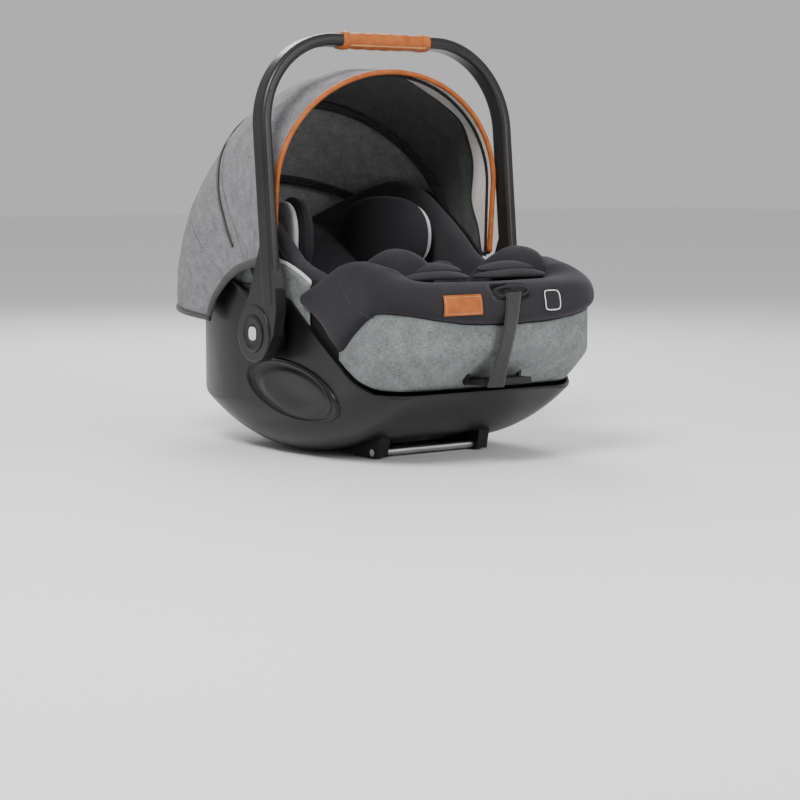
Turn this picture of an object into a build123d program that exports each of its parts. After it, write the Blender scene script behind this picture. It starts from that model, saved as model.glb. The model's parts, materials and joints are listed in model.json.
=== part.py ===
"""Infant car seat: an outer carrying shell with a reclining seat inside it, a swinging carry handle,
a three-bow canopy, a height-adjustable headrest and a five-point harness.

Frame: millimetres, +Z up, X across the seat, the child's feet towards -Y and the head towards +Y.
The origin is at the middle of the footprint, on the surface that the seat stands on.
"Right" is the child's right hand, at -X.

Two axes along X drive the whole design:
- the hub axis, where the carry handle and the three canopy bows turn;
- the cradle axis, high above the seat, about which the seat slides on curved rails to recline.
"""

import os
from math import atan2, cos, degrees, radians, sin, sqrt

from build123d import *

# ---------------------------------------------------------------- driving dimensions
HUB_Y = -42.0  # hub axis
HUB_Z = 171.0
CRADLE_Y = -26.0  # recline axis
CRADLE_Z = 412.0

WALL = 4.0  # plastic wall of both tubs
SHELL_R = 408.0  # underside of the outer shell, about the cradle axis
SHELL_HALF = 182.0  # outer shell half width
SHELL_FRONT = -284.0
SHELL_CORNER = 58.0  # rounding between the shell's floor and its sides
SEAT_R = 392.0  # underside of the seat tub, about the cradle axis
SEAT_HALF = 173.0
SEAT_FRONT = -322.0
SEAT_CORNER = 50.0
HEAD_START_Y = 60.0  # where both plan outlines start to taper as a half ellipse
SHELL_HEAD_LENGTH = 236.0  # length of that half ellipse
SEAT_HEAD_LENGTH = 227.0

LEG_FOOT = (-75.9, 214.0)  # foot of the handle's leaning arch, as (y, z)
HANDLE_TOP_Y = -42.0
LEG_HALF = 209.0  # handle leg centres, from the middle plane
HANDLE_TOP = 573.0
HANDLE_LEAN = degrees(atan2(HANDLE_TOP_Y - LEG_FOOT[0], HANDLE_TOP - LEG_FOOT[1]))
HANDLE_CORNER = 122.0
HANDLE_DEEP = 30.0  # handle section, along Y
HANDLE_THICK = 17.0
GRIP_LENGTH = 152.0
HUB_R = 39.5
PIN_R = 14.0
RUNNING = 0.06  # radial clearance of everything that turns on the hub pins
BUTTON_R = 26.0

BOW_R = {"front": 356.0, "mid": 372.0, "rear": 372.0}  # top of a bow's centre line above the hub axis
BOW_HALF = 186.0
BOW_THICK = 5.0
ARCH_SHOULDER = 200.0  # height over the hub axis where the canopy's sides start to curve in
PANEL_R = (361.0, 377.0, 381.0, 385.0)  # nested canopy panels, from the front one
PANEL_HALF = (190.5, 193.0, 195.5, 198.0)
PANEL_THICK = 1.5
HEM_R = 95.0  # lower edge of the canopy's sides, from the hub axis
FRONT_BOW_DEG, MID_BOW_DEG, REAR_BOW_DEG = -2.0, 31.0, 56.0  # back from upright
CANOPY_END_DEG = 86.0

BACK_START = (-118.0, 76.0)  # foot of the backrest surface, as (y, z)
BACK_END = (262.0, 292.0)
BACK_DEG = degrees(atan2(BACK_END[1] - BACK_START[1], BACK_END[0] - BACK_START[0]))

EAR_THICK, BOSS_R = 4.0, 2.8  # ears that carry the two levers
LEVER_HALF = 42.0
LEVER_R = SHELL_R + 13.0
RELEASE_DEG = 28.0
RECLINE_PIVOT = (-292.0, 114.0)

SIDES = {"right": -1, "left": 1}

os.makedirs("parts", exist_ok=True)


# ---------------------------------------------------------------- shared shapes
def save(part, name):
    """Labels a finished piece and writes it as the node of that name."""
    part.label = name
    export_step(part, f"parts/{name}.step")


def on_back(along, above):
    """(y, z) of a point given by its distance up the backrest and its height over that surface."""
    turn = radians(BACK_DEG)
    return (
        BACK_START[0] + along * cos(turn) - above * sin(turn),
        BACK_START[1] + along * sin(turn) + above * cos(turn),
    )


def back_plane(above=0.0):
    """Sketch plane on the backrest: local x across the seat, local y up the backrest."""
    turn = radians(BACK_DEG)
    return Plane(
        origin=(0, *BACK_START), x_dir=(1, 0, 0), z_dir=(0, -sin(turn), cos(turn))
    ).offset(above)


def hub_plane(tilt_deg=0.0):
    """Plane through the hub axis, tilted back from upright: local x across, local y outwards."""
    turn = radians(tilt_deg)
    return Plane(
        origin=(0, HUB_Y, HUB_Z), x_dir=(1, 0, 0), z_dir=(0, -cos(turn), sin(turn))
    )


def wheel(radius, half, corner):
    """Solid of revolution about the cradle axis: what the seat tub and the shell are cut from."""
    with BuildPart() as body:
        with BuildSketch(Plane.YZ.offset(-half)):
            with Locations((CRADLE_Y, CRADLE_Z)):
                Circle(radius)
        extrude(amount=2 * half)
        fillet(body.edges().filter_by(GeomType.CIRCLE), corner)
    return body.part


def plan(front, half, corner, head_length, top=460.0):
    """Upright prism: square front with round corners, half-elliptical head end."""
    with BuildPart() as body:
        with BuildSketch(Plane.XY):
            with BuildLine():
                Line((0, front), (half - corner, front))
                RadiusArc((half - corner, front), (half, front + corner), -corner)
                Line((half, front + corner), (half, HEAD_START_Y))
                EllipticalCenterArc((0, HEAD_START_Y), half, head_length, 0, arc_size=90)
                mirror(about=Plane.YZ)
            make_face()
        extrude(amount=top)
    return body.part


def side_slab(points, half=260.0):
    """Prism across the whole width from a polygon of (y, z) points."""
    with BuildPart() as body:
        with BuildSketch(Plane.YZ):
            with BuildLine():
                Polyline(*points, close=True)
            make_face()
        extrude(amount=half, both=True)
    return body.part


def strip(points, thick, start_x, width):
    """Webbing that follows (y, z) points, from start_x across its width."""
    with BuildPart() as body:
        with BuildSketch(Plane.YZ.offset(start_x)):
            with BuildLine():
                Polyline(*points)
            trace(line_width=thick)
        extrude(amount=width)
    return body.part


def sector(first_deg, last_deg, reach=700.0):
    """Wedge below the cradle axis between two angles, measured towards the head."""
    rays = [radians(first_deg), radians((first_deg + last_deg) / 2), radians(last_deg)]
    far = [(CRADLE_Y + reach * sin(a), CRADLE_Z - reach * cos(a)) for a in rays]
    return [(CRADLE_Y, CRADLE_Z), *far]


def on_cradle(radius, angle_deg):
    """(y, z) of a point below the cradle axis, at an angle towards the head."""
    turn = radians(angle_deg)
    return (CRADLE_Y + radius * sin(turn), CRADLE_Z - radius * cos(turn))


def ears(pivot, root_points, inner_x):
    """Pair of ears from a tub to a pivot axis, with a boss on the inside of each."""
    with BuildPart() as body:
        for sign in SIDES.values():
            with BuildSketch(Plane.YZ.offset(sign * inner_x)):
                with BuildLine():
                    Polyline(*root_points, close=True)
                make_face()
                with Locations(pivot):
                    Circle(4.5)
            extrude(amount=sign * EAR_THICK)
            with BuildSketch(Plane.YZ.offset(sign * (inner_x + 1))):
                with Locations(pivot):
                    Circle(BOSS_R)
            extrude(amount=-sign * 6)
    return body.part


# ---------------------------------------------------------------- outlines in side view
SHELL_RIM = [(-284, 99), (-255, 101), (-211, 123), (-139, 171), (-76, 217), (-20, 232), (60, 236)]
SHELL_RIM += [(200, 226), (296, 214)]
SEAT_RIM = [(-322, 186), (-262, 186), (-235, 252), (-212, 266), (-186, 256), (-155, 237)]
SEAT_RIM += [(-110, 247), (-62, 264), (-28, 296), (69, 360), (120, 372), (200, 344)]
SEAT_RIM += [(258, 298), (290, 258)]
FOAM_TOP = [(-262, 182), (-180, 76), BACK_START, BACK_END, (292, BACK_END[1] + 17)]


def under(rim, drop=0.0):
    """Everything below a rim line, lowered by drop."""
    lowered = [(y, z - drop) for y, z in rim]
    first, last = lowered[0], lowered[-1]
    return side_slab(
        [(first[0] - 90, -20), (first[0] - 90, first[1]), *lowered, (last[0] + 90, last[1])]
        + [(last[0] + 90, -20)]
    )


# ---------------------------------------------------------------- outer shell
shell_body = (
    wheel(SHELL_R, SHELL_HALF, SHELL_CORNER)
    & plan(SHELL_FRONT, SHELL_HALF, 70, SHELL_HEAD_LENGTH)
    & under(SHELL_RIM)
)
shell_hollow = wheel(SHELL_R - WALL, SHELL_HALF - WALL, SHELL_CORNER - WALL) & plan(
    SHELL_FRONT + WALL, SHELL_HALF - WALL, 70 - WALL, SHELL_HEAD_LENGTH - WALL
)
with BuildPart() as outer_shell:
    add(shell_body)
    add(shell_hollow, mode=Mode.SUBTRACT)
    with Locations((0, HUB_Y, HUB_Z)):
        Cylinder(PIN_R, 2 * SHELL_HALF + 2, rotation=(0, 90, 0), mode=Mode.SUBTRACT)
    add(
        ears(
            on_cradle(LEVER_R, RELEASE_DEG),
            [on_cradle(LEVER_R, RELEASE_DEG - 0.6), on_cradle(LEVER_R, RELEASE_DEG + 0.6)]
            + [on_cradle(SHELL_R - 2, RELEASE_DEG + 1.2), on_cradle(SHELL_R - 2, RELEASE_DEG - 1.2)],
            LEVER_HALF + 0.5,
        )
    )
save(outer_shell.part, "outer_shell")

OVAL_Y, OVAL_Z = -80.0, 96.0
OVAL_LONG, OVAL_TALL = 98.0, 31.0
PANEL_PROUD = 1.8
for side, sign in SIDES.items():
    with BuildPart() as side_panel:
        with BuildSketch(Plane.YZ.offset(sign * SHELL_HALF)):
            with Locations((OVAL_Y, OVAL_Z)):
                Ellipse(OVAL_LONG, OVAL_TALL, rotation=-4)
        extrude(amount=sign * PANEL_PROUD)
    save(side_panel.part, f"side_panel_{side}")

PIN_END = 210.5
FLANGE_R = 22.0
for side, sign in SIDES.items():
    with BuildPart() as hub_pin:
        with BuildSketch(Plane.YZ.offset(sign * (SHELL_HALF - WALL - 2))):
            with Locations((HUB_Y, HUB_Z)):
                Circle(FLANGE_R)
        extrude(amount=sign * 2)
        with BuildSketch(Plane.YZ.offset(sign * (SHELL_HALF - WALL))):
            with Locations((HUB_Y, HUB_Z)):
                Circle(PIN_R)
        extrude(amount=sign * (PIN_END - SHELL_HALF + WALL))
    save(hub_pin.part, f"hub_pin_{side}")

# Curved rails on the shell's floor, which the seat tub slides on.
RAIL_X, RAIL_WIDE = 108.0, 8.0
RAIL_DEG = (-36.0, 34.0)
RAIL_TOP_R = SEAT_R + 0.6


for side, sign in SIDES.items():
    with BuildPart() as recline_rail:
        with BuildSketch(Plane.YZ.offset(sign * RAIL_X)):
            with Locations((CRADLE_Y, CRADLE_Z)):
                Circle(SHELL_R - WALL)
                Circle(RAIL_TOP_R, mode=Mode.SUBTRACT)
            with BuildLine():
                Polyline(*sector(*RAIL_DEG), close=True)
            make_face(mode=Mode.INTERSECT)
        extrude(amount=sign * RAIL_WIDE)
    save(recline_rail.part, f"recline_rail_{side}")

# Two skids under the shell carry it, and hold the two steel bars that a vehicle base latches on.
SKID_X, SKID_WIDE = 78.0, 18.0
SKID_ENDS = (-168.0, 112.0)
SKID_BOTTOM = 2.0
BAR_R = 5.0
BARS = {"front": (-150.0, 8.0), "rear": (94.0, 8.0)}
SCREW_Y = (-100.0, 60.0)
SCREW_R = 2.5
for side, sign in SIDES.items():
    with BuildPart() as skid:
        with BuildSketch(Plane.YZ.offset(sign * SKID_X)):
            with BuildLine():
                first, last = SKID_ENDS
                Polyline(
                    (first, 30), (first + 6, SKID_BOTTOM), (last - 6, SKID_BOTTOM), (last, 30),
                    close=True,
                )
            make_face()
            with Locations((CRADLE_Y, CRADLE_Z)):
                Circle(SHELL_R, mode=Mode.SUBTRACT)
            with Locations(*BARS.values()):
                Circle(BAR_R, mode=Mode.SUBTRACT)
        extrude(amount=sign * SKID_WIDE)
        with BuildSketch(Plane.XY.offset(SKID_BOTTOM)):
            with Locations(*((sign * (SKID_X + SKID_WIDE / 2), y) for y in SCREW_Y)):
                Circle(SCREW_R)
        extrude(amount=12, mode=Mode.SUBTRACT)
    save(skid.part, f"skid_{side}")

for end, (bar_y, bar_z) in BARS.items():
    with BuildPart() as latch_bar:
        with Locations((0, bar_y, bar_z)):
            Cylinder(BAR_R, 2 * (SKID_X + SKID_WIDE), rotation=(0, 90, 0))
    save(latch_bar.part, f"{end}_latch_bar")

with BuildPart() as skid_screws:
    with BuildSketch(Plane.XY.offset(SKID_BOTTOM + 0.6)):
        with Locations(*((s * (SKID_X + SKID_WIDE / 2), y) for s in (-1, 1) for y in SCREW_Y)):
            Circle(SCREW_R)
    extrude(amount=7)
save(skid_screws.part, "skid_screws")

PAD_LONG = 26.0
with BuildPart() as rest_pads:
    with BuildSketch(Plane.XY):
        with Locations(
            *((s * (SKID_X + SKID_WIDE / 2), y) for s in (-1, 1) for y in (-140, -20, 88))
        ):
            RectangleRounded(SKID_WIDE - 4, PAD_LONG, 5)
    extrude(amount=SKID_BOTTOM)
save(rest_pads.part, "rest_pads")

# Lever under the head end that frees the carrier from its base; it is squeezed up to the shell.
# It turns on bosses that stick inwards from two ears of the shell.
with BuildPart() as release_lever:
    with BuildSketch(Plane.YZ):
        with Locations((CRADLE_Y, CRADLE_Z)):
            Circle(LEVER_R + 4.5)
            Circle(LEVER_R - 4.5, mode=Mode.SUBTRACT)
        with BuildLine():
            Polyline(*sector(RELEASE_DEG, RELEASE_DEG + 7), close=True)
        make_face(mode=Mode.INTERSECT)
        with Locations(on_cradle(LEVER_R, RELEASE_DEG)):
            Circle(4.5)
            Circle(BOSS_R + RUNNING, mode=Mode.SUBTRACT)
    extrude(amount=LEVER_HALF, both=True)
save(release_lever.part, "release_lever")

# ---------------------------------------------------------------- carry handle
HUB_INNER, HUB_OUTER = 200.4, 219.0
POCKET_FLOOR = 211.0
FLARE = [(-72, 300), (-60, 300), (-40, 250), (-30, 226), (-6, 184), (-42, 160), (-72, 146), (-89, 170)]
FLARE += [(-97, 205), (-95, 235)]
with BuildPart() as handle_bow:
    with BuildLine() as arch:
        FilletPolyline(
            (-LEG_HALF, *LEG_FOOT),
            (-LEG_HALF, HANDLE_TOP_Y, HANDLE_TOP),
            (LEG_HALF, HANDLE_TOP_Y, HANDLE_TOP),
            (LEG_HALF, *LEG_FOOT),
            radius=HANDLE_CORNER,
        )
    with BuildSketch(Plane(origin=arch.line @ 0, x_dir=(1, 0, 0), z_dir=arch.line % 0)):
        RectangleRounded(HANDLE_THICK, HANDLE_DEEP, 6.5)
    sweep()
    for sign in SIDES.values():
        with BuildSketch(Plane.YZ.offset(sign * HUB_INNER)) as hub_face:
            with Locations((HUB_Y, HUB_Z)):
                Circle(HUB_R)
        extrude(amount=sign * (HUB_OUTER - HUB_INNER))
        with BuildSketch(Plane.YZ.offset(sign * (HUB_INNER + 0.3))):
            with BuildLine():
                Polyline(*FLARE, close=True)
            make_face()
        extrude(amount=sign * (HANDLE_THICK - 1))
    fillet(handle_bow.faces().filter_by(Axis.X).sort_by(Axis.X)[0].outer_wire().edges(), 2)
    fillet(handle_bow.faces().filter_by(Axis.X).sort_by(Axis.X)[-1].outer_wire().edges(), 2)
    with Locations((0, HUB_Y, HUB_Z)):
        Cylinder(PIN_R + RUNNING, 2 * HUB_OUTER + 2, rotation=(0, 90, 0), mode=Mode.SUBTRACT)
    for sign in SIDES.values():
        with BuildSketch(Plane.YZ.offset(sign * POCKET_FLOOR)):
            with Locations((HUB_Y, HUB_Z)):
                Circle(BUTTON_R + 0.4)
        extrude(amount=sign * 20, mode=Mode.SUBTRACT)
save(handle_bow.part, "handle_bow")

BUTTON_INNER, BUTTON_OUTER = 215.5, 221.5
for side, sign in SIDES.items():
    with BuildPart() as hub_ratchet:
        with BuildSketch(Plane.YZ.offset(sign * 190)):
            with Locations((HUB_Y, HUB_Z)):
                Circle(36)
                Circle(PIN_R + RUNNING, mode=Mode.SUBTRACT)
        extrude(amount=sign * (HUB_INNER - 190))
    save(hub_ratchet.part, f"hub_ratchet_{side}")

    with BuildPart() as handle_button:
        with BuildSketch(Plane.YZ.offset(sign * BUTTON_INNER)):
            with Locations((HUB_Y, HUB_Z)):
                Circle(BUTTON_R)
        extrude(amount=sign * (BUTTON_OUTER - BUTTON_INNER))
        rim = handle_button.faces().sort_by(Axis.X)[-1 if sign > 0 else 0]
        fillet(rim.edges(), 2)
    save(handle_button.part, f"handle_button_{side}")

GRIP_WALL = 2.2
with BuildPart() as leather_grip:
    with BuildSketch(Plane.YZ.offset(-GRIP_LENGTH / 2)):
        with Locations(Location((HANDLE_TOP_Y, HANDLE_TOP), -HANDLE_LEAN)):
            RectangleRounded(HANDLE_DEEP + 2 * GRIP_WALL, HANDLE_THICK + 2 * GRIP_WALL, 8.5)
            RectangleRounded(HANDLE_DEEP + 0.1, HANDLE_THICK + 0.1, 6.5, mode=Mode.SUBTRACT)
    extrude(amount=GRIP_LENGTH)
save(leather_grip.part, "leather_grip")


# ---------------------------------------------------------------- canopy
def canopy_panel(layer, first_deg, last_deg, extra=0.0, thick=PANEL_THICK):
    """Nested sheet of the canopy between two tilts, turned about the hub axis."""
    half = PANEL_HALF[layer] + extra
    rise = PANEL_R[layer] + extra - ARCH_SHOULDER
    leg = ARCH_SHOULDER - HEM_R
    with BuildPart() as body:
        with BuildSketch(hub_plane(first_deg)):
            with Locations((0, ARCH_SHOULDER)):
                Ellipse(half, rise)
            with Locations((0, HEM_R + leg / 2)):
                Rectangle(2 * half, leg)
            with Locations((0, ARCH_SHOULDER)):
                Ellipse(half - thick, rise - thick, mode=Mode.SUBTRACT)
            with Locations((0, HEM_R + leg / 2)):
                Rectangle(2 * (half - thick), leg + 1, mode=Mode.SUBTRACT)
            with Locations((0, HEM_R - 60)):
                Rectangle(3 * half, 120, mode=Mode.SUBTRACT)
        revolve(
            axis=Axis((0, HUB_Y, HUB_Z), (-1, 0, 0)), revolution_arc=last_deg - first_deg
        )
    return body.part


BOW_RING_R = 24.0
BOW_LEG_WIDE = 8.0
BOW_LEG_THICK = 1.5
BOW_LAYER_X = {"front": 183.0, "mid": 185.2, "rear": 187.4}


def canopy_bow(name, tilt_deg):
    """Arched rod with a flat leg and a ring round the hub pin at each end."""
    start = HEM_R + 4
    with BuildPart() as body:
        with BuildLine(hub_plane(tilt_deg)):
            Line((BOW_HALF, start), (BOW_HALF, ARCH_SHOULDER))
            EllipticalCenterArc(
                (0, ARCH_SHOULDER), BOW_HALF, BOW_R[name] - ARCH_SHOULDER, 0, arc_size=180
            )
            Line((-BOW_HALF, ARCH_SHOULDER), (-BOW_HALF, start))
        out = hub_plane(tilt_deg).y_dir
        foot = hub_plane(tilt_deg).from_local_coords((BOW_HALF, start))
        with BuildSketch(Plane(origin=foot, z_dir=out)):
            Circle(BOW_THICK / 2)
        sweep()
        for sign in SIDES.values():
            layer = hub_plane(tilt_deg)
            flat = Plane(
                origin=layer.from_local_coords((sign * BOW_LAYER_X[name], 0)),
                x_dir=layer.y_dir,
                z_dir=(sign, 0, 0),
            )
            with BuildSketch(flat):
                with Locations(((start + BOW_RING_R) / 2, 0)):
                    Rectangle(start - BOW_RING_R + 6, BOW_LEG_WIDE)
                Circle(BOW_RING_R)
                Circle(PIN_R + RUNNING, mode=Mode.SUBTRACT)
            extrude(amount=BOW_LEG_THICK)
    return body.part


for name, tilt in {"front": FRONT_BOW_DEG, "mid": MID_BOW_DEG, "rear": REAR_BOW_DEG}.items():
    save(canopy_bow(name, tilt), f"canopy_bow_{name}")

SPLITS = (12.5, 44.0, 59.0)  # tilts where one nested panel hands over to the next
save(canopy_panel(0, -3.8, SPLITS[0]), "canopy_panel_front")
save(canopy_panel(1, SPLITS[0] - 1, SPLITS[1]), "canopy_panel_mid")
save(canopy_panel(2, SPLITS[1] - 1, SPLITS[2]), "canopy_panel_rear")
save(canopy_panel(3, SPLITS[2] - 2, CANOPY_END_DEG), "canopy_panel_back")

TRIM_DEG = (-5.0, -3.8)
save(canopy_panel(0, *TRIM_DEG, 0.8, 4.5), "canopy_rim_trim")

# ---------------------------------------------------------------- seat tub and its foam
with BuildPart() as seat_shell:
    add(
        wheel(SEAT_R, SEAT_HALF, SEAT_CORNER)
        & plan(SEAT_FRONT, SEAT_HALF, 80, SEAT_HEAD_LENGTH)
        & under(SEAT_RIM)
    )
    add(
        wheel(SEAT_R - WALL, SEAT_HALF - WALL, SEAT_CORNER - WALL)
        & plan(SEAT_FRONT + WALL, SEAT_HALF - WALL, 80 - WALL, SEAT_HEAD_LENGTH - WALL),
        mode=Mode.SUBTRACT,
    )
    pivot_y, pivot_z = RECLINE_PIVOT
    add(
        ears(
            RECLINE_PIVOT,
            [(pivot_y - 4, pivot_z), (pivot_y + 4, pivot_z), (pivot_y + 8, 119), (pivot_y - 8, 134)],
            LEVER_HALF + 0.5,
        )
    )
save(seat_shell.part, "seat_shell")

FIT = 0.5  # gap between the tub and what lies in it
BACK_FOAM = 24.0  # thickness of the foam behind the child
foam_room = wheel(SEAT_R - WALL - FIT, SEAT_HALF - WALL - FIT, SEAT_CORNER - WALL) & plan(
    SEAT_FRONT + WALL + FIT, SEAT_HALF - WALL - FIT, 75, SEAT_HEAD_LENGTH - WALL - FIT
)
foam_under = side_slab(
    [(-400, 20), (-400, 182), *FOAM_TOP, (292, 20)], half=SEAT_HALF
)
split_y = BACK_START[0] - 2
with BuildPart() as front_foam:
    add(foam_room & foam_under & side_slab([(-400, 0), (-400, 400), (split_y, 400), (split_y, 0)]))
save(front_foam.part, "front_foam")

back_slab = side_slab(
    [on_back(-20, -BACK_FOAM), on_back(520, -BACK_FOAM), (420, 480), (split_y + 1, 300)]
)
with BuildPart() as back_foam:
    add(
        foam_room
        & foam_under
        & back_slab
        & side_slab([(split_y + 1, 0), (split_y + 1, 400), (400, 400), (400, 0)])
    )
save(back_foam.part, "back_foam")

# Padded side walls: a ring inside the tub, one half on each side.
BOLSTER_IN, BOLSTER_HEAD = 26.0, 14.0
RING_LIFT = 1.0
over_foam = side_slab(
    [(-236, 420), (-236, 172), (-180, 77), (BACK_START[0], BACK_START[1] + RING_LIFT)]
    + [(BACK_END[0], BACK_END[1] + RING_LIFT), (292, BACK_END[1] + 17 + RING_LIFT), (292, 420)]
)
bolster_ring = (
    foam_room
    - plan(SEAT_FRONT + BOLSTER_IN, SEAT_HALF - BOLSTER_IN, 60, SEAT_HEAD_LENGTH - BOLSTER_HEAD)
) & over_foam & under(SEAT_RIM, drop=1.5)
for side, sign in SIDES.items():
    with BuildPart() as side_bolster:
        add(bolster_ring)
        split(bisect_by=Plane.YZ.offset(sign * 0.4), keep=Keep.TOP if sign > 0 else Keep.BOTTOM)
    save(side_bolster.part, f"side_bolster_{side}")

# ---------------------------------------------------------------- covers on the outside of the seat
COVER_OUT = 3.0
ROLL_BOTTOM, ROLL_TOP = 188.0, 250.0
ROLL_FRONT, ROLL_BACK = -331.0, -266.0
SLOT_Z = 233.0  # harness adjuster, on the front of the roll
cover_block = wheel(SEAT_R + 0.3 + COVER_OUT, SEAT_HALF + 0.3 + COVER_OUT, SEAT_CORNER) & plan(
    SEAT_FRONT - 0.3 - COVER_OUT, SEAT_HALF + 0.3 + COVER_OUT, 80, SEAT_HEAD_LENGTH
)
cover_core = wheel(SEAT_R + 0.3, SEAT_HALF + 0.3, SEAT_CORNER) & plan(
    SEAT_FRONT - 0.3, SEAT_HALF + 0.3, 77, SEAT_HEAD_LENGTH
)
cover_skin = cover_block - cover_core
APRON_ZONE = [(-400, 186), (-400, 60), (-301, 60), (-301, 131), (-240, 150), (-240, 186)]
with BuildPart() as front_apron:
    add(cover_skin & side_slab(APRON_ZONE))
save(front_apron.part, "front_apron")

COVER_ZONE = [(-239, 186), (-239, 154), (-211, 130), (-139, 176), (-76, 222), (-40, 236)]
COVER_ZONE += [(-40, 284), (-62, 263), (-110, 246), (-155, 236), (-186, 255), (-212, 265)]
COVER_ZONE += [(-232, 250), (-239, 232)]
for side, sign in SIDES.items():
    with BuildPart() as side_cover:
        add(cover_skin & side_slab(COVER_ZONE))
        split(bisect_by=Plane.YZ, keep=Keep.TOP if sign > 0 else Keep.BOTTOM)
    save(side_cover.part, f"side_cover_{side}")

with BuildPart() as front_roll:
    add(
        plan(ROLL_FRONT, SEAT_HALF + 3, 84, SEAT_HEAD_LENGTH)
        & side_slab(
            [(-400, ROLL_BOTTOM), (-400, ROLL_TOP), (ROLL_BACK, ROLL_TOP), (ROLL_BACK, ROLL_BOTTOM)]
        )
    )
    with BuildSketch(Plane.XZ.offset(-ROLL_FRONT)):
        with Locations((0, SLOT_Z + 1.8)):
            RectangleRounded(34, 7, 3)
    extrude(amount=-12, mode=Mode.SUBTRACT)
save(front_roll.part, "front_roll")

# ---------------------------------------------------------------- newborn insert
LOBE_INNER, LOBE_WIDE = 62.0, 78.0
LOBE_PROFILE = [(-257, 190), (-254, 238), (-232, 276), (-205, 288), (-172, 274), (-140, 222)]
LOBE_PROFILE += [(-122, 150), (-130, 92), (-176, 92)]
for side, sign in SIDES.items():
    with BuildPart() as insert_lobe:
        with BuildSketch(Plane.YZ.offset(sign * LOBE_INNER)):
            with BuildLine():
                Polyline(*LOBE_PROFILE, close=True)
            make_face()
        extrude(amount=sign * LOBE_WIDE)
        fillet(insert_lobe.faces().sort_by(Axis.X)[-1 if sign > 0 else 0].edges(), 8)
    save(insert_lobe.part, f"insert_lobe_{side}")

INSERT_THICK = 11.0
with BuildPart() as insert_pad:
    with BuildSketch(back_plane(1)):
        with Locations((0, 97)):
            RectangleRounded(184, 176, 30)
    extrude(amount=INSERT_THICK)
save(insert_pad.part, "insert_pad")

# ---------------------------------------------------------------- headrest
HEADREST_AT = 325.0  # up the backrest
HEADREST_R = 84.0
WING_CENTRE, WING_SIZE = (64.0, 297.0), (76.0, 57.0)  # (y, z) and half sizes
CROWN_R, CROWN_TOP = 66.0, 62.0  # raised middle of the headrest pad
WING_X, WING_THICK = 71.0, 24.0
WING_BASE = 45.0
with BuildPart() as headrest_frame:
    with BuildSketch(back_plane(13.5)):
        with Locations((0, HEADREST_AT)):
            Circle(HEADREST_R)
    extrude(amount=6)
save(headrest_frame.part, "headrest_frame")

with BuildPart() as headrest_pad:
    with BuildSketch(back_plane(20)):
        with Locations((0, HEADREST_AT)):
            Circle(HEADREST_R)
    extrude(amount=WING_BASE - 20.5)
    with BuildSketch(back_plane(WING_BASE - 1)):
        with Locations((0, HEADREST_AT)):
            Circle(CROWN_R)
    extrude(amount=CROWN_TOP - WING_BASE)
save(headrest_pad.part, "headrest_pad")

wing_floor = side_slab(
    [on_back(150, WING_BASE), on_back(460, WING_BASE), on_back(460, 300), on_back(150, 300)]
)
for side, sign in SIDES.items():
    with BuildPart() as headrest_wing:
        with BuildSketch(Plane.YZ.offset(sign * WING_X)):
            with Locations(WING_CENTRE):
                Ellipse(*WING_SIZE)
        extrude(amount=sign * WING_THICK)
        add(wing_floor, mode=Mode.INTERSECT)
    save(headrest_wing.part, f"headrest_wing_{side}")

with BuildPart() as headrest_lever:
    with BuildSketch(back_plane(22)):
        with Locations((0, HEADREST_AT + HEADREST_R + 7.5)):
            RectangleRounded(54, 12, 4)
    extrude(amount=12)
save(headrest_lever.part, "headrest_lever")

# ---------------------------------------------------------------- harness
WEB_WIDE, WEB_THICK = 25.0, 1.8
STRAP_X = 30.0
BUCKLE_WIDE, BUCKLE_DEEP = 52.0, 20.0
BUCKLE_Y, BUCKLE_BOTTOM, BUCKLE_TOP = -150.0, 132.0, 186.0
strap_low = (BUCKLE_Y, BUCKLE_TOP + 24.5)
strap_bend = on_back(78, INSERT_THICK + 42)
strap_slot = on_back(188, INSERT_THICK + 7)
pad_low = on_back(92, INSERT_THICK + 45)
for side, sign in SIDES.items():
    start_x = STRAP_X if sign > 0 else -STRAP_X - WEB_WIDE
    with BuildPart() as shoulder_strap:
        add(strip([strap_slot, strap_bend, strap_low], WEB_THICK, start_x, WEB_WIDE))
    save(shoulder_strap.part, f"shoulder_strap_{side}")

    with BuildPart() as shoulder_pad:
        add(
            strip(
                [on_back(96, INSERT_THICK + 47), on_back(172, INSERT_THICK + 22)],
                9, start_x - 8, WEB_WIDE + 16,
            )
        )
    save(shoulder_pad.part, f"shoulder_pad_{side}")

with BuildPart() as buckle:
    with BuildSketch(Plane.XY.offset(BUCKLE_BOTTOM)):
        with Locations((0, BUCKLE_Y)):
            RectangleRounded(BUCKLE_WIDE, BUCKLE_DEEP, 6)
    extrude(amount=BUCKLE_TOP - BUCKLE_BOTTOM)
    with BuildSketch(Plane.XZ.offset(-(BUCKLE_Y - BUCKLE_DEEP / 2 + 8))):
        with Locations((0, 158)):
            RectangleRounded(30.6, 22.6, 4)
    extrude(amount=20, mode=Mode.SUBTRACT)
save(buckle.part, "buckle")

with BuildPart() as buckle_button:
    with BuildSketch(Plane.XZ.offset(-(BUCKLE_Y - BUCKLE_DEEP / 2 + 4))):
        with Locations((0, 158)):
            RectangleRounded(30, 22, 4)
    extrude(amount=5)
save(buckle_button.part, "buckle_button")

with BuildPart() as buckle_tongues:
    for sign in SIDES.values():
        with BuildSketch(Plane.XZ.offset(-(BUCKLE_Y - 1.5))):
            with BuildLine():
                Polyline(
                    (sign * 2, BUCKLE_TOP + 0.5), (sign * 22, BUCKLE_TOP + 0.5),
                    (sign * (STRAP_X + WEB_WIDE), BUCKLE_TOP + 12),
                    (sign * (STRAP_X + WEB_WIDE), BUCKLE_TOP + 22),
                    (sign * STRAP_X, BUCKLE_TOP + 22), (sign * 2, BUCKLE_TOP + 10),
                    close=True,
                )
            make_face()
        extrude(amount=-3)
save(buckle_tongues.part, "buckle_tongues")

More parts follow.
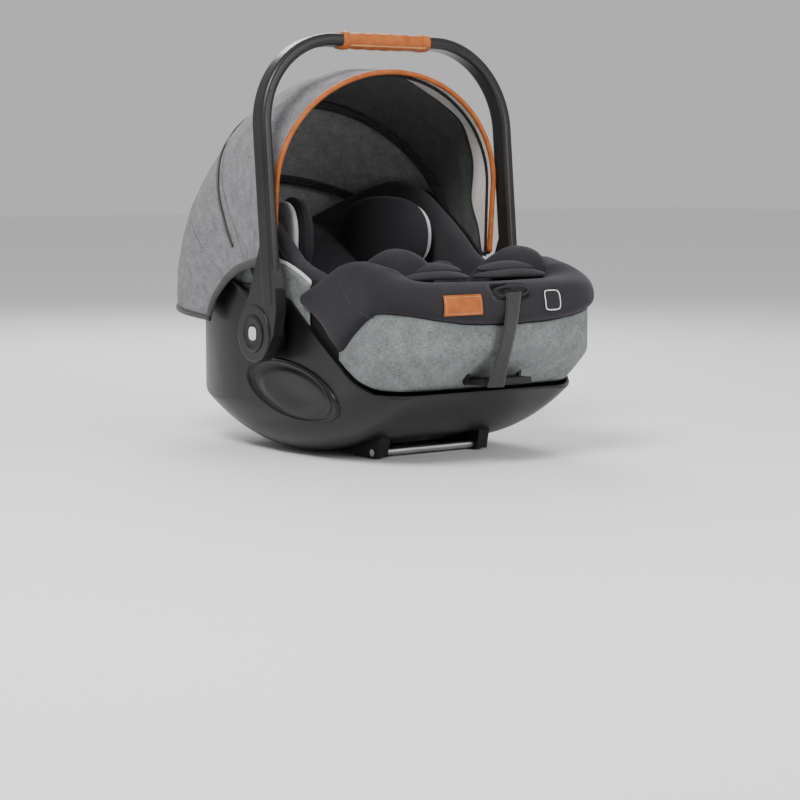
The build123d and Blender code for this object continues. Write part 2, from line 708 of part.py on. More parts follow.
with BuildPart() as crotch_strap:
    add(strip([(BUCKLE_Y, 78), (BUCKLE_Y, BUCKLE_BOTTOM - 0.3)], WEB_THICK, -WEB_WIDE, 2 * WEB_WIDE))
save(crotch_strap.part, "crotch_strap")

CROTCH_PAD = [(-178, 84), (-188, 180), (-182, 262)]
with BuildPart() as crotch_pad:
    add(strip(CROTCH_PAD, 11, -32, 64))
save(crotch_pad.part, "crotch_pad")

# ---------------------------------------------------------------- harness adjuster on the front roll
with BuildPart() as adjuster_bezel:
    with BuildSketch(Plane.XZ.offset(-ROLL_FRONT + 0.2)):
        with Locations((0, SLOT_Z)):
            RectangleRounded(52, 17, 7)
            RectangleRounded(42, 9, 4, mode=Mode.SUBTRACT)
    extrude(amount=2)
save(adjuster_bezel.part, "adjuster_bezel")

with BuildPart() as adjuster_button:
    with BuildSketch(Plane.XZ.offset(-ROLL_FRONT + 0.4)):
        with Locations((0, SLOT_Z + 1.8)):
            RectangleRounded(30, 4, 1.5)
    extrude(amount=1.8)
save(adjuster_button.part, "adjuster_button")

STRAP_OUT = ROLL_FRONT - 3.4
with BuildPart() as adjuster_strap:
    add(strip([(STRAP_OUT, SLOT_Z - 3), (STRAP_OUT, 108)], WEB_THICK, -WEB_WIDE / 2, WEB_WIDE))
save(adjuster_strap.part, "adjuster_strap")

with BuildPart() as recline_lever:
    pivot_y, pivot_z = RECLINE_PIVOT
    with BuildSketch(Plane.YZ):
        with BuildLine():
            Polyline(
                (pivot_y, pivot_z + 4), (pivot_y - 32, pivot_z + 5), (pivot_y - 32, pivot_z - 3),
                (pivot_y, pivot_z - 4), close=True,
            )
        make_face()
        with Locations(RECLINE_PIVOT):
            Circle(4.5)
            Circle(BOSS_R + RUNNING, mode=Mode.SUBTRACT)
    extrude(amount=LEVER_HALF, both=True)
save(recline_lever.part, "recline_lever")

TAG_X = -84.0
with BuildPart() as leather_tag:
    with BuildSketch(Plane.XZ.offset(-ROLL_FRONT + 0.1)):
        with Locations((TAG_X, 222)):
            RectangleRounded(62, 27, 2)
    extrude(amount=1.4)
save(leather_tag.part, "leather_tag")

with BuildPart() as care_label:
    with BuildSketch(Plane.XZ.offset(-ROLL_FRONT + 0.1)):
        with Locations((76, 224)):
            RectangleRounded(28, 28, 5)
    extrude(amount=0.8)
save(care_label.part, "care_label")
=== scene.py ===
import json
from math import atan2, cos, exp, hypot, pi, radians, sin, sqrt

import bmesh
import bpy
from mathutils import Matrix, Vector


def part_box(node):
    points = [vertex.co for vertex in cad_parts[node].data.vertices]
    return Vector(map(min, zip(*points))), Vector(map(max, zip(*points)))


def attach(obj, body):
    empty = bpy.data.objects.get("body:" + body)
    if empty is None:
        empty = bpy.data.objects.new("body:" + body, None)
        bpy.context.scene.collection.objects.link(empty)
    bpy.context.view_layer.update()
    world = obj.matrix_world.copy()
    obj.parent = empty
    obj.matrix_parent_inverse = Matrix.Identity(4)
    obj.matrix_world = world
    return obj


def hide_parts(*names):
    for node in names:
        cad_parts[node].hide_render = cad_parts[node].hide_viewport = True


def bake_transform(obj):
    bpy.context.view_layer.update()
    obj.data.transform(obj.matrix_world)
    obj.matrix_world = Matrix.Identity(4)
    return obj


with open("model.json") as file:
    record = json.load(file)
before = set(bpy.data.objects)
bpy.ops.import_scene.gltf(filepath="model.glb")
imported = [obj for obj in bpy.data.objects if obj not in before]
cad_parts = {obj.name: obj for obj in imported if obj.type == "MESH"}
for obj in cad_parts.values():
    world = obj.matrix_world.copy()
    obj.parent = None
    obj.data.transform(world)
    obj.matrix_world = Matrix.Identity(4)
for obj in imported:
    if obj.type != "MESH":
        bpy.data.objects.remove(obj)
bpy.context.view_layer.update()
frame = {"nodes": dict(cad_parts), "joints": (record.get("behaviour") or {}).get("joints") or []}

# %% [markdown]
# An infant car seat: a hard outer shell, a padded seat that reclines inside it, a carry handle and a
# cloth canopy. The hard parts arrive from the CAD model and stay as they are. This lesson adds cloth,
# leather and finishes. All lengths are metres. +Z is up, the feet point to -Y, and both pivots are read
# from the model's own joints.

pivots = {j["name"]: Vector(j["pos_m"]) for j in frame["joints"] if "pos_m" in j}
hub, cradle = pivots["handle_hinge"], pivots["recline_hinge"]
print("hub axis", tuple(hub), "cradle axis", tuple(cradle))

# %% [markdown]
# The camera comes first, so that every later choice is judged from the same place. A long lens from about
# three metres keeps the handle's legs nearly parallel, as a catalogue view does.

# %% camera
eye = Vector((-1.819, -2.543, 0.395))
look = Vector((0.595 * cos(radians(6.08)), 0.804 * cos(radians(6.08)), -sin(radians(6.08))))
camera = bpy.data.objects.new("camera", bpy.data.cameras.new("camera"))
camera.data.lens, camera.data.sensor_width = 97.56, 36.0
camera.location = eye
camera.rotation_euler = look.to_track_quat("-Z", "Y").to_euler()
bpy.context.scene.collection.objects.link(camera)
bpy.context.scene.camera = camera
print("camera", tuple(round(c, 3) for c in eye))

# %% [markdown]
# A studio is one large soft lamp above and in front, a weaker one from the other side, and a pale room.
# Large lamps give the wide, blurred highlights that show black plastic's shape.

# %% lights and floor
world = bpy.data.worlds.new("studio")
world.use_nodes = True
world.node_tree.nodes["Background"].inputs["Color"].default_value = (1.0, 1.0, 1.0, 1)
world.node_tree.nodes["Background"].inputs["Strength"].default_value = 0.55
bpy.context.scene.world = world


def soft_lamp(name, place, aim, size, watts):
    lamp = bpy.data.objects.new(name, bpy.data.lights.new(name, "AREA"))
    lamp.data.shape, lamp.data.size, lamp.data.energy = "DISK", size, watts
    lamp.location = place
    lamp.rotation_euler = (Vector(aim) - Vector(place)).to_track_quat("-Z", "Y").to_euler()
    bpy.context.scene.collection.objects.link(lamp)
    return lamp


soft_lamp("key_lamp", (-1.6, -1.1, 2.3), (0, 0, 0.25), 1.2, 80)
soft_lamp("front_lamp", (0.7, -2.6, 1.2), (0, -0.1, 0.25), 1.4, 34)
soft_lamp("back_lamp", (0.9, 1.8, 1.9), (0, 0, 0.3), 1.5, 46)

floor_mesh = bmesh.new()
bmesh.ops.create_grid(floor_mesh, x_segments=1, y_segments=1, size=14)
floor_data = bpy.data.meshes.new("floor")
floor_mesh.to_mesh(floor_data)
floor = bpy.data.objects.new("floor", floor_data)
bpy.context.scene.collection.objects.link(floor)
floor.location.z = -0.0003
paper = bpy.data.materials.new("paper_floor")
paper.use_nodes = True
paper.node_tree.nodes["Principled BSDF"].inputs["Base Color"].default_value = (0.9, 0.9, 0.9, 1)
paper.node_tree.nodes["Principled BSDF"].inputs["Roughness"].default_value = 0.8
floor_data.materials.append(paper)

# %% [markdown]
# A finish is a Principled shader plus a pattern. The pattern drives colour through a ramp and relief
# through a bump. Cloth sheets carry a UV map measured in metres, so a thread has the same width on every
# sheet. Stuffed pieces use Object coordinates, which are metres too, so both kinds share the same
# numbers.


# %% shader helpers
def finish(name, roughness, **sockets):
    mat = bpy.data.materials.new(name)
    mat.use_nodes = True
    shader = mat.node_tree.nodes["Principled BSDF"]
    shader.inputs["Roughness"].default_value = roughness
    for socket, value in sockets.items():
        shader.inputs[socket.replace("_", " ")].default_value = value
    return mat


def pattern(mat, kind, scale, stretch=(1, 1, 1), source="Object", turn=0.0, **settings):
    """One texture on metric coordinates; gives its first number output."""
    nodes, links = mat.node_tree.nodes, mat.node_tree.links
    coordinates = nodes.new("ShaderNodeTexCoord")
    mapping = nodes.new("ShaderNodeMapping")
    mapping.inputs["Scale"].default_value = stretch
    mapping.inputs["Rotation"].default_value = (0, 0, turn)
    texture = nodes.new(kind)
    texture.inputs["Scale"].default_value = scale
    for key, value in settings.items():
        texture.inputs[key.replace("_", " ")].default_value = value
    links.new(coordinates.outputs[source], mapping.inputs["Vector"])
    links.new(mapping.outputs["Vector"], texture.inputs["Vector"])
    return texture.outputs["Distance" if kind == "ShaderNodeTexVoronoi" else "Fac"]


def joined(mat, operation, first, second):
    node = mat.node_tree.nodes.new("ShaderNodeMath")
    node.operation = operation
    for place, value in enumerate((first, second)):
        if isinstance(value, (int, float)):
            node.inputs[place].default_value = value
        else:
            mat.node_tree.links.new(value, node.inputs[place])
    return node.outputs[0]


def colour_by(mat, value, *stops):
    """stops are (position, colour); the ramp feeds the base colour."""
    ramp = mat.node_tree.nodes.new("ShaderNodeValToRGB")
    while len(ramp.color_ramp.elements) < len(stops):
        ramp.color_ramp.elements.new(0.5)
    for element, (place, colour) in zip(ramp.color_ramp.elements, stops):
        element.position, element.color = place, (*colour, 1)
    mat.node_tree.links.new(value, ramp.inputs["Fac"])
    mat.node_tree.links.new(
        ramp.outputs["Color"], mat.node_tree.nodes["Principled BSDF"].inputs["Base Color"]
    )


def relief_by(mat, value, depth, strength=0.6):
    bump = mat.node_tree.nodes.new("ShaderNodeBump")
    bump.inputs["Strength"].default_value = strength
    bump.inputs["Distance"].default_value = depth
    mat.node_tree.links.new(value, bump.inputs["Height"])
    mat.node_tree.links.new(
        bump.outputs["Normal"], mat.node_tree.nodes["Principled BSDF"].inputs["Normal"]
    )


def gloss_by(mat, value, low, high):
    span = joined(mat, "MULTIPLY", value, high - low)
    mat.node_tree.links.new(
        joined(mat, "ADD", span, low),
        mat.node_tree.nodes["Principled BSDF"].inputs["Roughness"],
    )


# %% [markdown]
# Melange cloth mixes light and dark yarns. Two noises stretched along the two thread directions give the
# short streaks, and two fine wave textures give the weave's relief.


# %% cloth finishes
def melange(name, dark, light, source="Object", sheen=0.25):
    mat = finish(name, 0.9, Sheen_Weight=sheen, Sheen_Roughness=0.5, Specular_IOR_Level=0.25)
    weft = pattern(mat, "ShaderNodeTexNoise", 900, (1, 0.14, 1), source, Detail=3.0, Roughness=0.7)
    warp = pattern(mat, "ShaderNodeTexNoise", 900, (0.14, 1, 0.14), source, Detail=3.0, Roughness=0.7)
    cloud = pattern(mat, "ShaderNodeTexNoise", 45, (1, 1, 1), source, Detail=2.0)
    yarn = joined(mat, "ADD", joined(mat, "MULTIPLY", weft, 0.5), joined(mat, "MULTIPLY", warp, 0.5))
    yarn = joined(mat, "ADD", yarn, joined(mat, "MULTIPLY", joined(mat, "SUBTRACT", cloud, 0.5), 0.22))
    middle = tuple((a + b) / 2 for a, b in zip(dark, light))
    colour_by(mat, yarn, (0.36, dark), (0.5, middle), (0.64, light))
    thread = joined(
        mat, "ADD",
        pattern(mat, "ShaderNodeTexWave", 320, (1, 1, 1), source, 0.0, Distortion=1.5),
        pattern(mat, "ShaderNodeTexWave", 320, (1, 1, 1), source, pi / 2, Distortion=1.5),
    )
    relief_by(mat, joined(mat, "ADD", thread, joined(mat, "MULTIPLY", yarn, 2.0)), 0.0005)
    return mat


def knit(name, dark, light, sheen=0.5):
    """Soft stretch cloth on the padding: nearly even colour, a fine nap and a sheen at grazing angles."""
    mat = finish(
        name, 0.85, Sheen_Weight=sheen, Sheen_Roughness=0.45, Specular_IOR_Level=0.2,
        Sheen_Tint=(0.75, 0.7, 0.78, 1),
    )
    nap = pattern(mat, "ShaderNodeTexNoise", 1400, Detail=2.0)
    cloud = pattern(mat, "ShaderNodeTexNoise", 18, Detail=3.0)
    mixed = joined(mat, "ADD", joined(mat, "MULTIPLY", nap, 0.55), joined(mat, "MULTIPLY", cloud, 0.45))
    colour_by(mat, mixed, (0.35, dark), (0.65, light))
    rows = pattern(mat, "ShaderNodeTexWave", 260, (1, 1, 1), "Object", 0.6, Distortion=2.0)
    relief_by(mat, joined(mat, "ADD", nap, joined(mat, "MULTIPLY", rows, 0.5)), 0.0004)
    return mat


grey_sheet = melange("grey_melange_sheet", (0.085, 0.085, 0.092), (0.33, 0.33, 0.345), "UV", 0.1)
# The canopy's inner grey is lighter than the outer grey: partly the lining's own colour, partly painted light
# that lifts the shade inside the canopy.
grey_lining_painted_light = melange("grey_melange_inside_painted_light", (0.15, 0.15, 0.155), (0.42, 0.42, 0.43), "UV", 0.1)
charcoal_inside = melange("charcoal_lining", (0.035, 0.038, 0.037), (0.095, 0.10, 0.098), "UV", 0.1)
grey_skin = melange("grey_melange_skin", (0.075, 0.085, 0.085), (0.27, 0.29, 0.29), "UV", 0.1)
pale_grey = melange("pale_grey_melange", (0.42, 0.43, 0.45), (0.74, 0.75, 0.77), "Object")
beige_sheet = melange("beige_facing", (0.60, 0.55, 0.52), (0.80, 0.76, 0.73), "UV", 0.1)
black_knit = knit("black_knit", (0.013, 0.012, 0.014), (0.023, 0.021, 0.025), 0.16)
charcoal_knit = knit("charcoal_knit", (0.020, 0.019, 0.022), (0.034, 0.032, 0.036), 0.18)
print("cloth finishes ready")

# %% [markdown]
# Leather is two scales of relief: a cell pattern for the grain and a slower noise for the hide's
# unevenness. Moulded plastic is almost even, with a fine spark-eroded grain that blurs the highlight.


# %% leather, plastic, webbing and metal
def hide(name, dark, light):
    mat = finish(name, 0.5, Specular_IOR_Level=0.22)
    grain = pattern(mat, "ShaderNodeTexVoronoi", 750)
    cloud = pattern(mat, "ShaderNodeTexNoise", 70, Detail=4.0)
    colour_by(mat, cloud, (0.3, dark), (0.7, light))
    relief_by(mat, joined(mat, "ADD", grain, joined(mat, "MULTIPLY", cloud, 0.4)), 0.0006, 0.5)
    gloss_by(mat, cloud, 0.4, 0.62)
    return mat


def moulded(name, dark, light, low, high, grain=1500, depth=0.00012):
    mat = finish(name, low, Specular_IOR_Level=0.3)
    speck = pattern(mat, "ShaderNodeTexNoise", grain, Detail=2.0)
    cloud = pattern(mat, "ShaderNodeTexNoise", 14, Detail=2.0)
    colour_by(mat, cloud, (0.3, dark), (0.7, light))
    relief_by(mat, speck, depth, 0.35)
    gloss_by(mat, cloud, low, high)
    return mat


def woven_band(name, dark, light):
    mat = finish(name, 0.6, Specular_IOR_Level=0.35, Sheen_Weight=0.2)
    ribs = pattern(mat, "ShaderNodeTexWave", 190, (1, 1, 1), "UV", pi / 4, Distortion=0.6)
    cross = pattern(mat, "ShaderNodeTexWave", 190, (1, 1, 1), "UV", -pi / 4, Distortion=0.6)
    weave = joined(mat, "MULTIPLY", ribs, cross)
    colour_by(mat, weave, (0.1, dark), (0.8, light))
    relief_by(mat, weave, 0.0006, 0.7)
    return mat


tan_leather = hide("tan_leather", (0.29, 0.070, 0.014), (0.41, 0.115, 0.026))
shell_black = moulded("shell_satin_black", (0.006, 0.0056, 0.0052), (0.009, 0.0085, 0.008), 0.3, 0.42)
seat_black = moulded("tub_black", (0.008, 0.008, 0.008), (0.012, 0.012, 0.012), 0.5, 0.62)
handle_paint = moulded("handle_anthracite", (0.014, 0.0135, 0.013), (0.02, 0.019, 0.018), 0.28, 0.38)
button_black = moulded("button_black", (0.008, 0.008, 0.008), (0.012, 0.012, 0.012), 0.25, 0.35)
inlay_grey = moulded("inlay_light_grey", (0.5, 0.53, 0.58), (0.6, 0.63, 0.68), 0.3, 0.4)
red_plastic = moulded("release_red", (0.42, 0.02, 0.02), (0.5, 0.03, 0.03), 0.35, 0.45)
foam_grey = moulded("foam_beads", (0.05, 0.05, 0.055), (0.09, 0.09, 0.095), 0.8, 0.9, 300, 0.0008)
pad_rubber = moulded("pad_rubber", (0.02, 0.02, 0.02), (0.03, 0.03, 0.03), 0.7, 0.8, 900)
webbing_black = woven_band("webbing_black", (0.006, 0.006, 0.006), (0.028, 0.028, 0.028))
elastic_brown = woven_band("elastic_dark", (0.018, 0.014, 0.015), (0.06, 0.05, 0.052))
thread_tan = moulded("thread_tan", (0.55, 0.3, 0.13), (0.7, 0.42, 0.2), 0.7, 0.8, 2500)
thread_grey = moulded("thread_grey", (0.1, 0.1, 0.11), (0.16, 0.16, 0.17), 0.7, 0.8, 2500)
print_white = moulded("print_white", (0.75, 0.75, 0.75), (0.85, 0.85, 0.85), 0.6, 0.7, 2500)

steel = finish("zinc_steel", 0.35, Metallic=1.0)
brushed = pattern(steel, "ShaderNodeTexNoise", 600, (0.04, 1, 1), Detail=2.0)
colour_by(steel, brushed, (0.3, (0.42, 0.42, 0.44)), (0.7, (0.6, 0.6, 0.62)))
gloss_by(steel, brushed, 0.28, 0.45)

# %% [markdown]
# The CAD nodes that stay visible only need a finish. Each goes on the node's own material slots.

# %% finishes for the kept CAD nodes
kept = {
    shell_black: ["outer_shell", "hub_ratchet_right", "hub_ratchet_left"],
    seat_black: [
        "seat_shell", "skid_right", "skid_left", "recline_rail_right", "recline_rail_left",
        "release_lever", "recline_lever", "headrest_frame", "headrest_lever", "canopy_bow_front",
        "canopy_bow_mid", "canopy_bow_rear", "hub_pin_right", "hub_pin_left",
    ],
    handle_paint: ["handle_bow"],
    button_black: ["buckle", "adjuster_button"],
    red_plastic: ["buckle_button"],
    steel: ["front_latch_bar", "rear_latch_bar", "skid_screws", "buckle_tongues"],
    foam_grey: ["front_foam", "back_foam"],
    pad_rubber: ["rest_pads"],
}
for material, names in kept.items():
    for name in names:
        data = frame["nodes"][name].data
        if not data.materials:
            data.materials.append(material)
        for index in range(len(data.materials)):
            data.materials[index] = material
        if data.polygons:
            data.shade_smooth()
            data.set_sharp_from_angle(angle=radians(32))
print("finished", sum(len(n) for n in kept.values()), "CAD nodes")


# %% [markdown]
# Two starting shapes make nearly every soft piece. A grid becomes a sheet when each point is placed by a
# formula. A subdivided cube, pushed out to a rounded block, becomes a pillow with no poles.


# %% modelling helpers
def sheet_grid(across, along, place, size):
    """Grid whose points go to place(u, v), with u and v from 0 to 1, and a UV map in metres."""
    bm = bmesh.new()
    cloth = bm.loops.layers.uv.new("cloth")
    bmesh.ops.create_grid(bm, x_segments=across, y_segments=along, size=0.5)
    for face in bm.faces:
        for loop in face.loops:
            loop[cloth].uv = (loop.vert.co.x * size[0], loop.vert.co.y * size[1])
    for vert in bm.verts:
        vert.co = Vector(place(vert.co.x + 0.5, vert.co.y + 0.5))
    return bm


def pillow(cuts, roundness, place):
    """Cube with rounded sides; place(x, y, z) gets numbers from -1 to 1."""
    bm = bmesh.new()
    bmesh.ops.create_cube(bm, size=2)
    bmesh.ops.subdivide_edges(bm, edges=bm.edges, cuts=cuts, use_grid_fill=True)
    for vert in bm.verts:
        reach = sum(abs(c) ** roundness for c in vert.co) ** (1 / roundness)
        vert.co = Vector(place(*(vert.co / reach)))
    return bm


def tube(along, around, centre, section, length, closed=False):
    """Tube round centre(v) that gives (point, side, up); section(angle) gives its reach on those two."""

    def place(u, v):
        point, side, up = centre(v)
        reach_side, reach_up = section(2 * pi * u)
        return point + side * reach_side + up * reach_up

    bm = sheet_grid(around, along, place, (0.03, length))
    return sewn(bm, capped=not closed)


def sewn(bm, capped=True, gap=1e-6):
    """Joins a grid's meeting edges and, if asked, caps what stays open."""
    bmesh.ops.remove_doubles(bm, verts=bm.verts, dist=gap)
    if capped:
        bmesh.ops.holes_fill(bm, edges=[e for e in bm.edges if e.is_boundary], sides=0)
    return bm


def cloth_area(bm):
    return sum(f.calc_area() for f in bm.faces)


def oval(wide, high, roundness=2.0):
    """Section of a tube: half sizes and how square it is."""

    def section(angle):
        c, s = cos(angle), sin(angle)
        reach = (abs(c) ** roundness + abs(s) ** roundness) ** (-1 / roundness)
        return c * reach * wide, s * reach * high

    return section


def outwards(bm, inside=None):
    """Faces point away from inside, or out of the closed shape."""
    bmesh.ops.recalc_face_normals(bm, faces=bm.faces)
    if inside is not None:
        lean = sum(f.normal.dot(f.calc_center_median() - Vector(inside)) for f in bm.faces)
        if lean < 0:
            bmesh.ops.reverse_faces(bm, faces=bm.faces)
    return bm


def make(name, bm, materials, body=None, swaps=(), inside=None, smooth=True):
    """Turns a bmesh into a finished object that rides on a body and stands for CAD nodes."""
    outwards(bm, inside)
    data = bpy.data.meshes.new(name)
    bm.to_mesh(data)
    bm.free()
    for material in materials if isinstance(materials, (list, tuple)) else [materials]:
        data.materials.append(material)
    if smooth:
        data.shade_smooth()
    piece = bpy.data.objects.new(name, data)
    bpy.context.scene.collection.objects.link(piece)
    if body:
        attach(piece, body)
    if swaps:
        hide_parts(*swaps)
    return piece


def thicken(piece, thickness, inner=0, offset=-1.0):
    solid = piece.modifiers.new("wall", "SOLIDIFY")
    solid.thickness, solid.offset, solid.material_offset = thickness, offset, inner
    solid.use_even_offset = False
    return piece


def smoother(piece, levels=1):
    subdivision = piece.modifiers.new("smooth", "SUBSURF")
    subdivision.levels = subdivision.render_levels = levels
    return piece


def cushion(name, bm, material, body, swaps):
    """A stuffed piece: made and smoothed."""
    smoother(make(name, bm, material, body, swaps))


def between(stops, at):
    """Value at a place on a smooth curve through (place, value) stops."""
    if at <= stops[0][0]:
        return stops[0][1]
    steps = [(q[1] - p[1]) / (q[0] - p[0]) for p, q in zip(stops, stops[1:])]
    slopes = [(a + b) / 2 if a * b > 0 else 0.0 for a, b in zip(steps, steps[1:])]
    slopes = [steps[0], *slopes, steps[-1]]
    for k, ((a, low), (b, high)) in enumerate(zip(stops, stops[1:])):
        if at <= b:
            t, run = (at - a) / (b - a), b - a
            return (
                low * (1 + 2 * t) * (1 - t) ** 2 + high * t * t * (3 - 2 * t)
                + run * t * (1 - t) * (slopes[k] * (1 - t) - slopes[k + 1] * t)
            )
    return stops[-1][1]


def on_line(points, share):
    """Place (y, z) at a share of the length of a line of points, and the number of its run."""
    lengths = [hypot(b[0] - a[0], b[1] - a[1]) for a, b in zip(points, points[1:])]
    rest, index = share * sum(lengths), 0
    while index < len(lengths) - 1 and rest > lengths[index]:
        rest -= lengths[index]
        index += 1
    t, (a, b) = rest / lengths[index], points[index : index + 2]
    return a[0] + (b[0] - a[0]) * t, a[1] + (b[1] - a[1]) * t, index, sum(lengths)


def straight(stops, at):
    """Straight value at a place, from (place, value) stops."""
    if at <= stops[0][0]:
        return stops[0][1]
    for (a, low), (b, high) in zip(stops, stops[1:]):
        if at <= b:
            return low + (high - low) * (at - a) / (b - a)
    return stops[-1][1]


# %% [markdown]
# The canopy is one cloth over three bows that all turn on the hub. A point on it is named by its tilt
# back from upright and its place along the arch, from one hem over the top to the other. The radius grows
# a little towards the back, and the cloth dips between the bows where nothing holds it out.

# %% the canopy's surface
BOWS = (-4.2, 31.0, 56.0, 85.0)
SHOULDER, CROWN_RUN = 0.2, 0.55
RISE = [(-6, 0.3605), (3, 0.368), (12, 0.3765), (31, 0.3805), (56, 0.3835), (70, 0.3835), (85, 0.379)]
HALF_WIDTH = [(-6, 0.1905), (31, 0.1945), (56, 0.197), (70, 0.196), (85, 0.1925)]
HEM_HEIGHT = [(-6, 0.104), (17, 0.098), (45, 0.112), (70, 0.136), (85, 0.156)]


def canopy_place(tilt, v, lift=0.0):
    rise, half, hem = between(RISE, tilt) + lift, between(HALF_WIDTH, tilt) + lift, between(HEM_HEIGHT, tilt)
    leg, crown = SHOULDER - hem, CROWN_RUN
    run = v * (2 * leg + crown)
    if run < leg:
        x, r, top = -half, hem + run, 0.0
    elif run > leg + crown:
        x, r, top = half, hem + 2 * leg + crown - run, 0.0
    else:
        a = pi * (1 - (run - leg) / crown)
        x, r, top = half * cos(a), SHOULDER + (rise - SHOULDER) * sin(a), sin(a)
    for first, last in zip(BOWS, BOWS[1:]):
        if first <= tilt <= last:
            held = sin(pi * (tilt - first) / (last - first))
            dip = (0.004 if last < 80 else 0.002) * held * top
            ripple = 0.0013 * held * sin(31 * v + 0.13 * tilt) + 0.0008 * held * sin(67 * v - 0.2 * tilt)
            low = exp(-((min(v, 1 - v) - 0.16) / 0.06) ** 2)
            drape = 0.0022 * held * low * sin(0.55 * tilt + 40 * min(v, 1 - v))
            r -= dip + (ripple + drape) * top
            x *= 1 - (ripple + drape + 0.35 * dip) / half
    turn = radians(tilt)
    return Vector((x, hub.y + r * sin(turn), hub.z + r * cos(turn)))


def arch(tilt, lift=0.0, first=0.0, last=1.0):
    """Line over the canopy at one tilt, with the directions across and away from it."""

    def centre(v):
        v = first + (last - first) * v
        here = canopy_place(tilt, v, lift)
        ahead = canopy_place(tilt, min(v + 0.004, 1.0), lift) - canopy_place(tilt, max(v - 0.004, 0.0), lift)
        back = Vector((0, cos(radians(tilt)), -sin(radians(tilt))))
        out = ahead.cross(back).normalized()
        return here, back, out

    return centre


# %% [markdown]
# Three sheets meet on the bows. A Solidify modifier gives each two faces, and the inner face takes the
# lining's finish.

# %% canopy cloth
sections = [
    ("canopy_cloth_front", 31.0, -4.2, "canopy_mid", "canopy_front", charcoal_inside, ["canopy_panel_front"]),
    ("canopy_cloth_mid", 56.0, 31.0, "canopy_rear", "canopy_mid", grey_lining_painted_light, ["canopy_panel_mid"]),
    ("canopy_cloth_back", 85.0, 56.0, "carrier_shell", "canopy_rear", grey_lining_painted_light,
     ["canopy_panel_rear", "canopy_panel_back"]),
]
# The middle and back sheets' inner face gets the lightened grey lining, which carries painted light.
for name, rear, front, held_by, moved_by, lining_and_painted_light, swaps in sections:
    cloth = sheet_grid(
        26, 110, lambda u, v: canopy_place(rear + (front - rear) * u, v),
        (0.36 * radians(rear - front), 0.72),
    )
    area = cloth_area(cloth)
    piece = make(name, cloth, [grey_sheet, lining_and_painted_light], None, swaps, hub)
    thicken(piece, 0.0014, inner=1)
    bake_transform(piece)
    print(name, "area", round(area, 3), "m2")

# %% [markdown]
# Dark elastic bands bind the cloth over the two inner bows, and a narrow zip tape crosses the outside.
# The hem has an elastic too, down both sides and round the back.

# %% canopy bindings, zip and hems
for name, tilt, body in (("mid", 31.0, "canopy_mid"), ("rear", 56.0, "canopy_rear")):
    for edge, shift in (("a", -0.6), ("b", 0.55)):
        band = tube(110, 12, arch(tilt + shift, -0.0075, 0.02, 0.98), oval(0.0038, 0.0042, 2.6), 0.7)
        make(f"canopy_binding_{name}_{edge}", band, webbing_black, body)


def tape_place(u, v):
    """The tape lies just behind the middle bow and swings back near its two ends."""
    v = 0.052 + 0.896 * v
    swing = 3.6 * exp(-(((min(v, 1 - v) - 0.05) / 0.09) ** 2))
    return canopy_place(32.3 + 1.5 * u + swing, v, 0.0009)


tape = sheet_grid(4, 110, tape_place, (0.01, 0.6))
zip_tape = make("canopy_zip_tape", tape, webbing_black, None, (), hub)
thicken(zip_tape, 0.0012, offset=1.0)
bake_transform(zip_tape)


def hem_line(rear, front, side):
    def centre(v):
        tilt = rear + (front - rear) * v
        here = canopy_place(tilt, side)
        inwards = (canopy_place(tilt, 0.03 if side == 0 else 0.97) - here).normalized()
        return here + inwards * 0.003, inwards, Vector((-1 if side == 0 else 1, 0, 0))

    return centre


for name, rear, front, held_by, moved_by, *_ in sections:
    for side, label in ((0.0, "right"), (1.0, "left")):
        hem = tube(40, 12, hem_line(rear, front, side), oval(0.0065, 0.0024, 2.6), 0.2)
        piece = make(name.replace("cloth", "hem") + "_" + label, hem, elastic_brown)
        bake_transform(piece)
back_hem = tube(110, 12, arch(85.9, -0.0005), oval(0.0038, 0.0028, 2.6), 0.6)
make("canopy_hem_back", back_hem, elastic_brown, "carrier_shell")
print("hem and bindings made")


# %% [markdown]
# Inside the front edge runs a beige facing with a wavy black binding, and the edge itself is piped in
# leather. The facing is a second sheet just inside the first, and its free edge follows a formula that
# widens at both hems.

# %% facing, its binding, and the leather edge
def facing_edge(v):
    low = min(v, 1 - v)
    return 4.4 + 0.9 * sin(23 * v) + 0.5 * sin(51 * v) + 5.5 * exp(-((low - 0.1) / 0.09) ** 2)


facing = sheet_grid(
    8, 110, lambda u, v: canopy_place(-4.6 + (facing_edge(v) + 4.6) * u, v, -0.0034), (0.05, 0.72)
)
facing_piece = make("canopy_facing", facing, beige_sheet, None, (), hub)
thicken(facing_piece, 0.001)
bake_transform(facing_piece)


def facing_line(v):
    def at(share):
        return canopy_place(facing_edge(share), share, -0.0045)

    here, ahead = at(v), at(min(v + 0.01, 1)) - at(max(v - 0.01, 0))
    away = Vector((here.x, here.y - hub.y, here.z - hub.z)).normalized()
    side = away.cross(ahead).normalized()
    return here, side, away


facing_binding = make(
    "canopy_facing_binding", tube(110, 10, facing_line, oval(0.0042, 0.0014, 2.6), 0.7),
    webbing_black,
)
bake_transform(facing_binding)
piping = tube(130, 16, arch(-4.6, -0.0012), oval(0.0040, 0.0036, 2.3), 0.72)
make("canopy_leather_edge", piping, tan_leather, "canopy_front", ["canopy_rim_trim"])


# %% [markdown]
# Stitches are short rounded dashes. One small cube is copied along a line, so hundreds of them stay
# light.


# %% stitches
def stitch_row(name, line, count, length, material, body, wide=0.0006):
    """line(t) gives (point, along, up) for t from 0 to 1."""
    bm = bmesh.new()
    for index in range(count):
        point, along, up = line((index + 0.5) / count)
        across = along.cross(up).normalized()
        new = bmesh.ops.create_cube(bm, size=2)["verts"]
        for vert in new:
            x, y, z = vert.co
            narrow = 1.0 if z < 0 else 0.55
            vert.co = point + along * (x * length / 2 * narrow)
            vert.co += across * (y * wide * narrow) + up * (z * wide * 0.8)
    return make(name, bm, material, body)


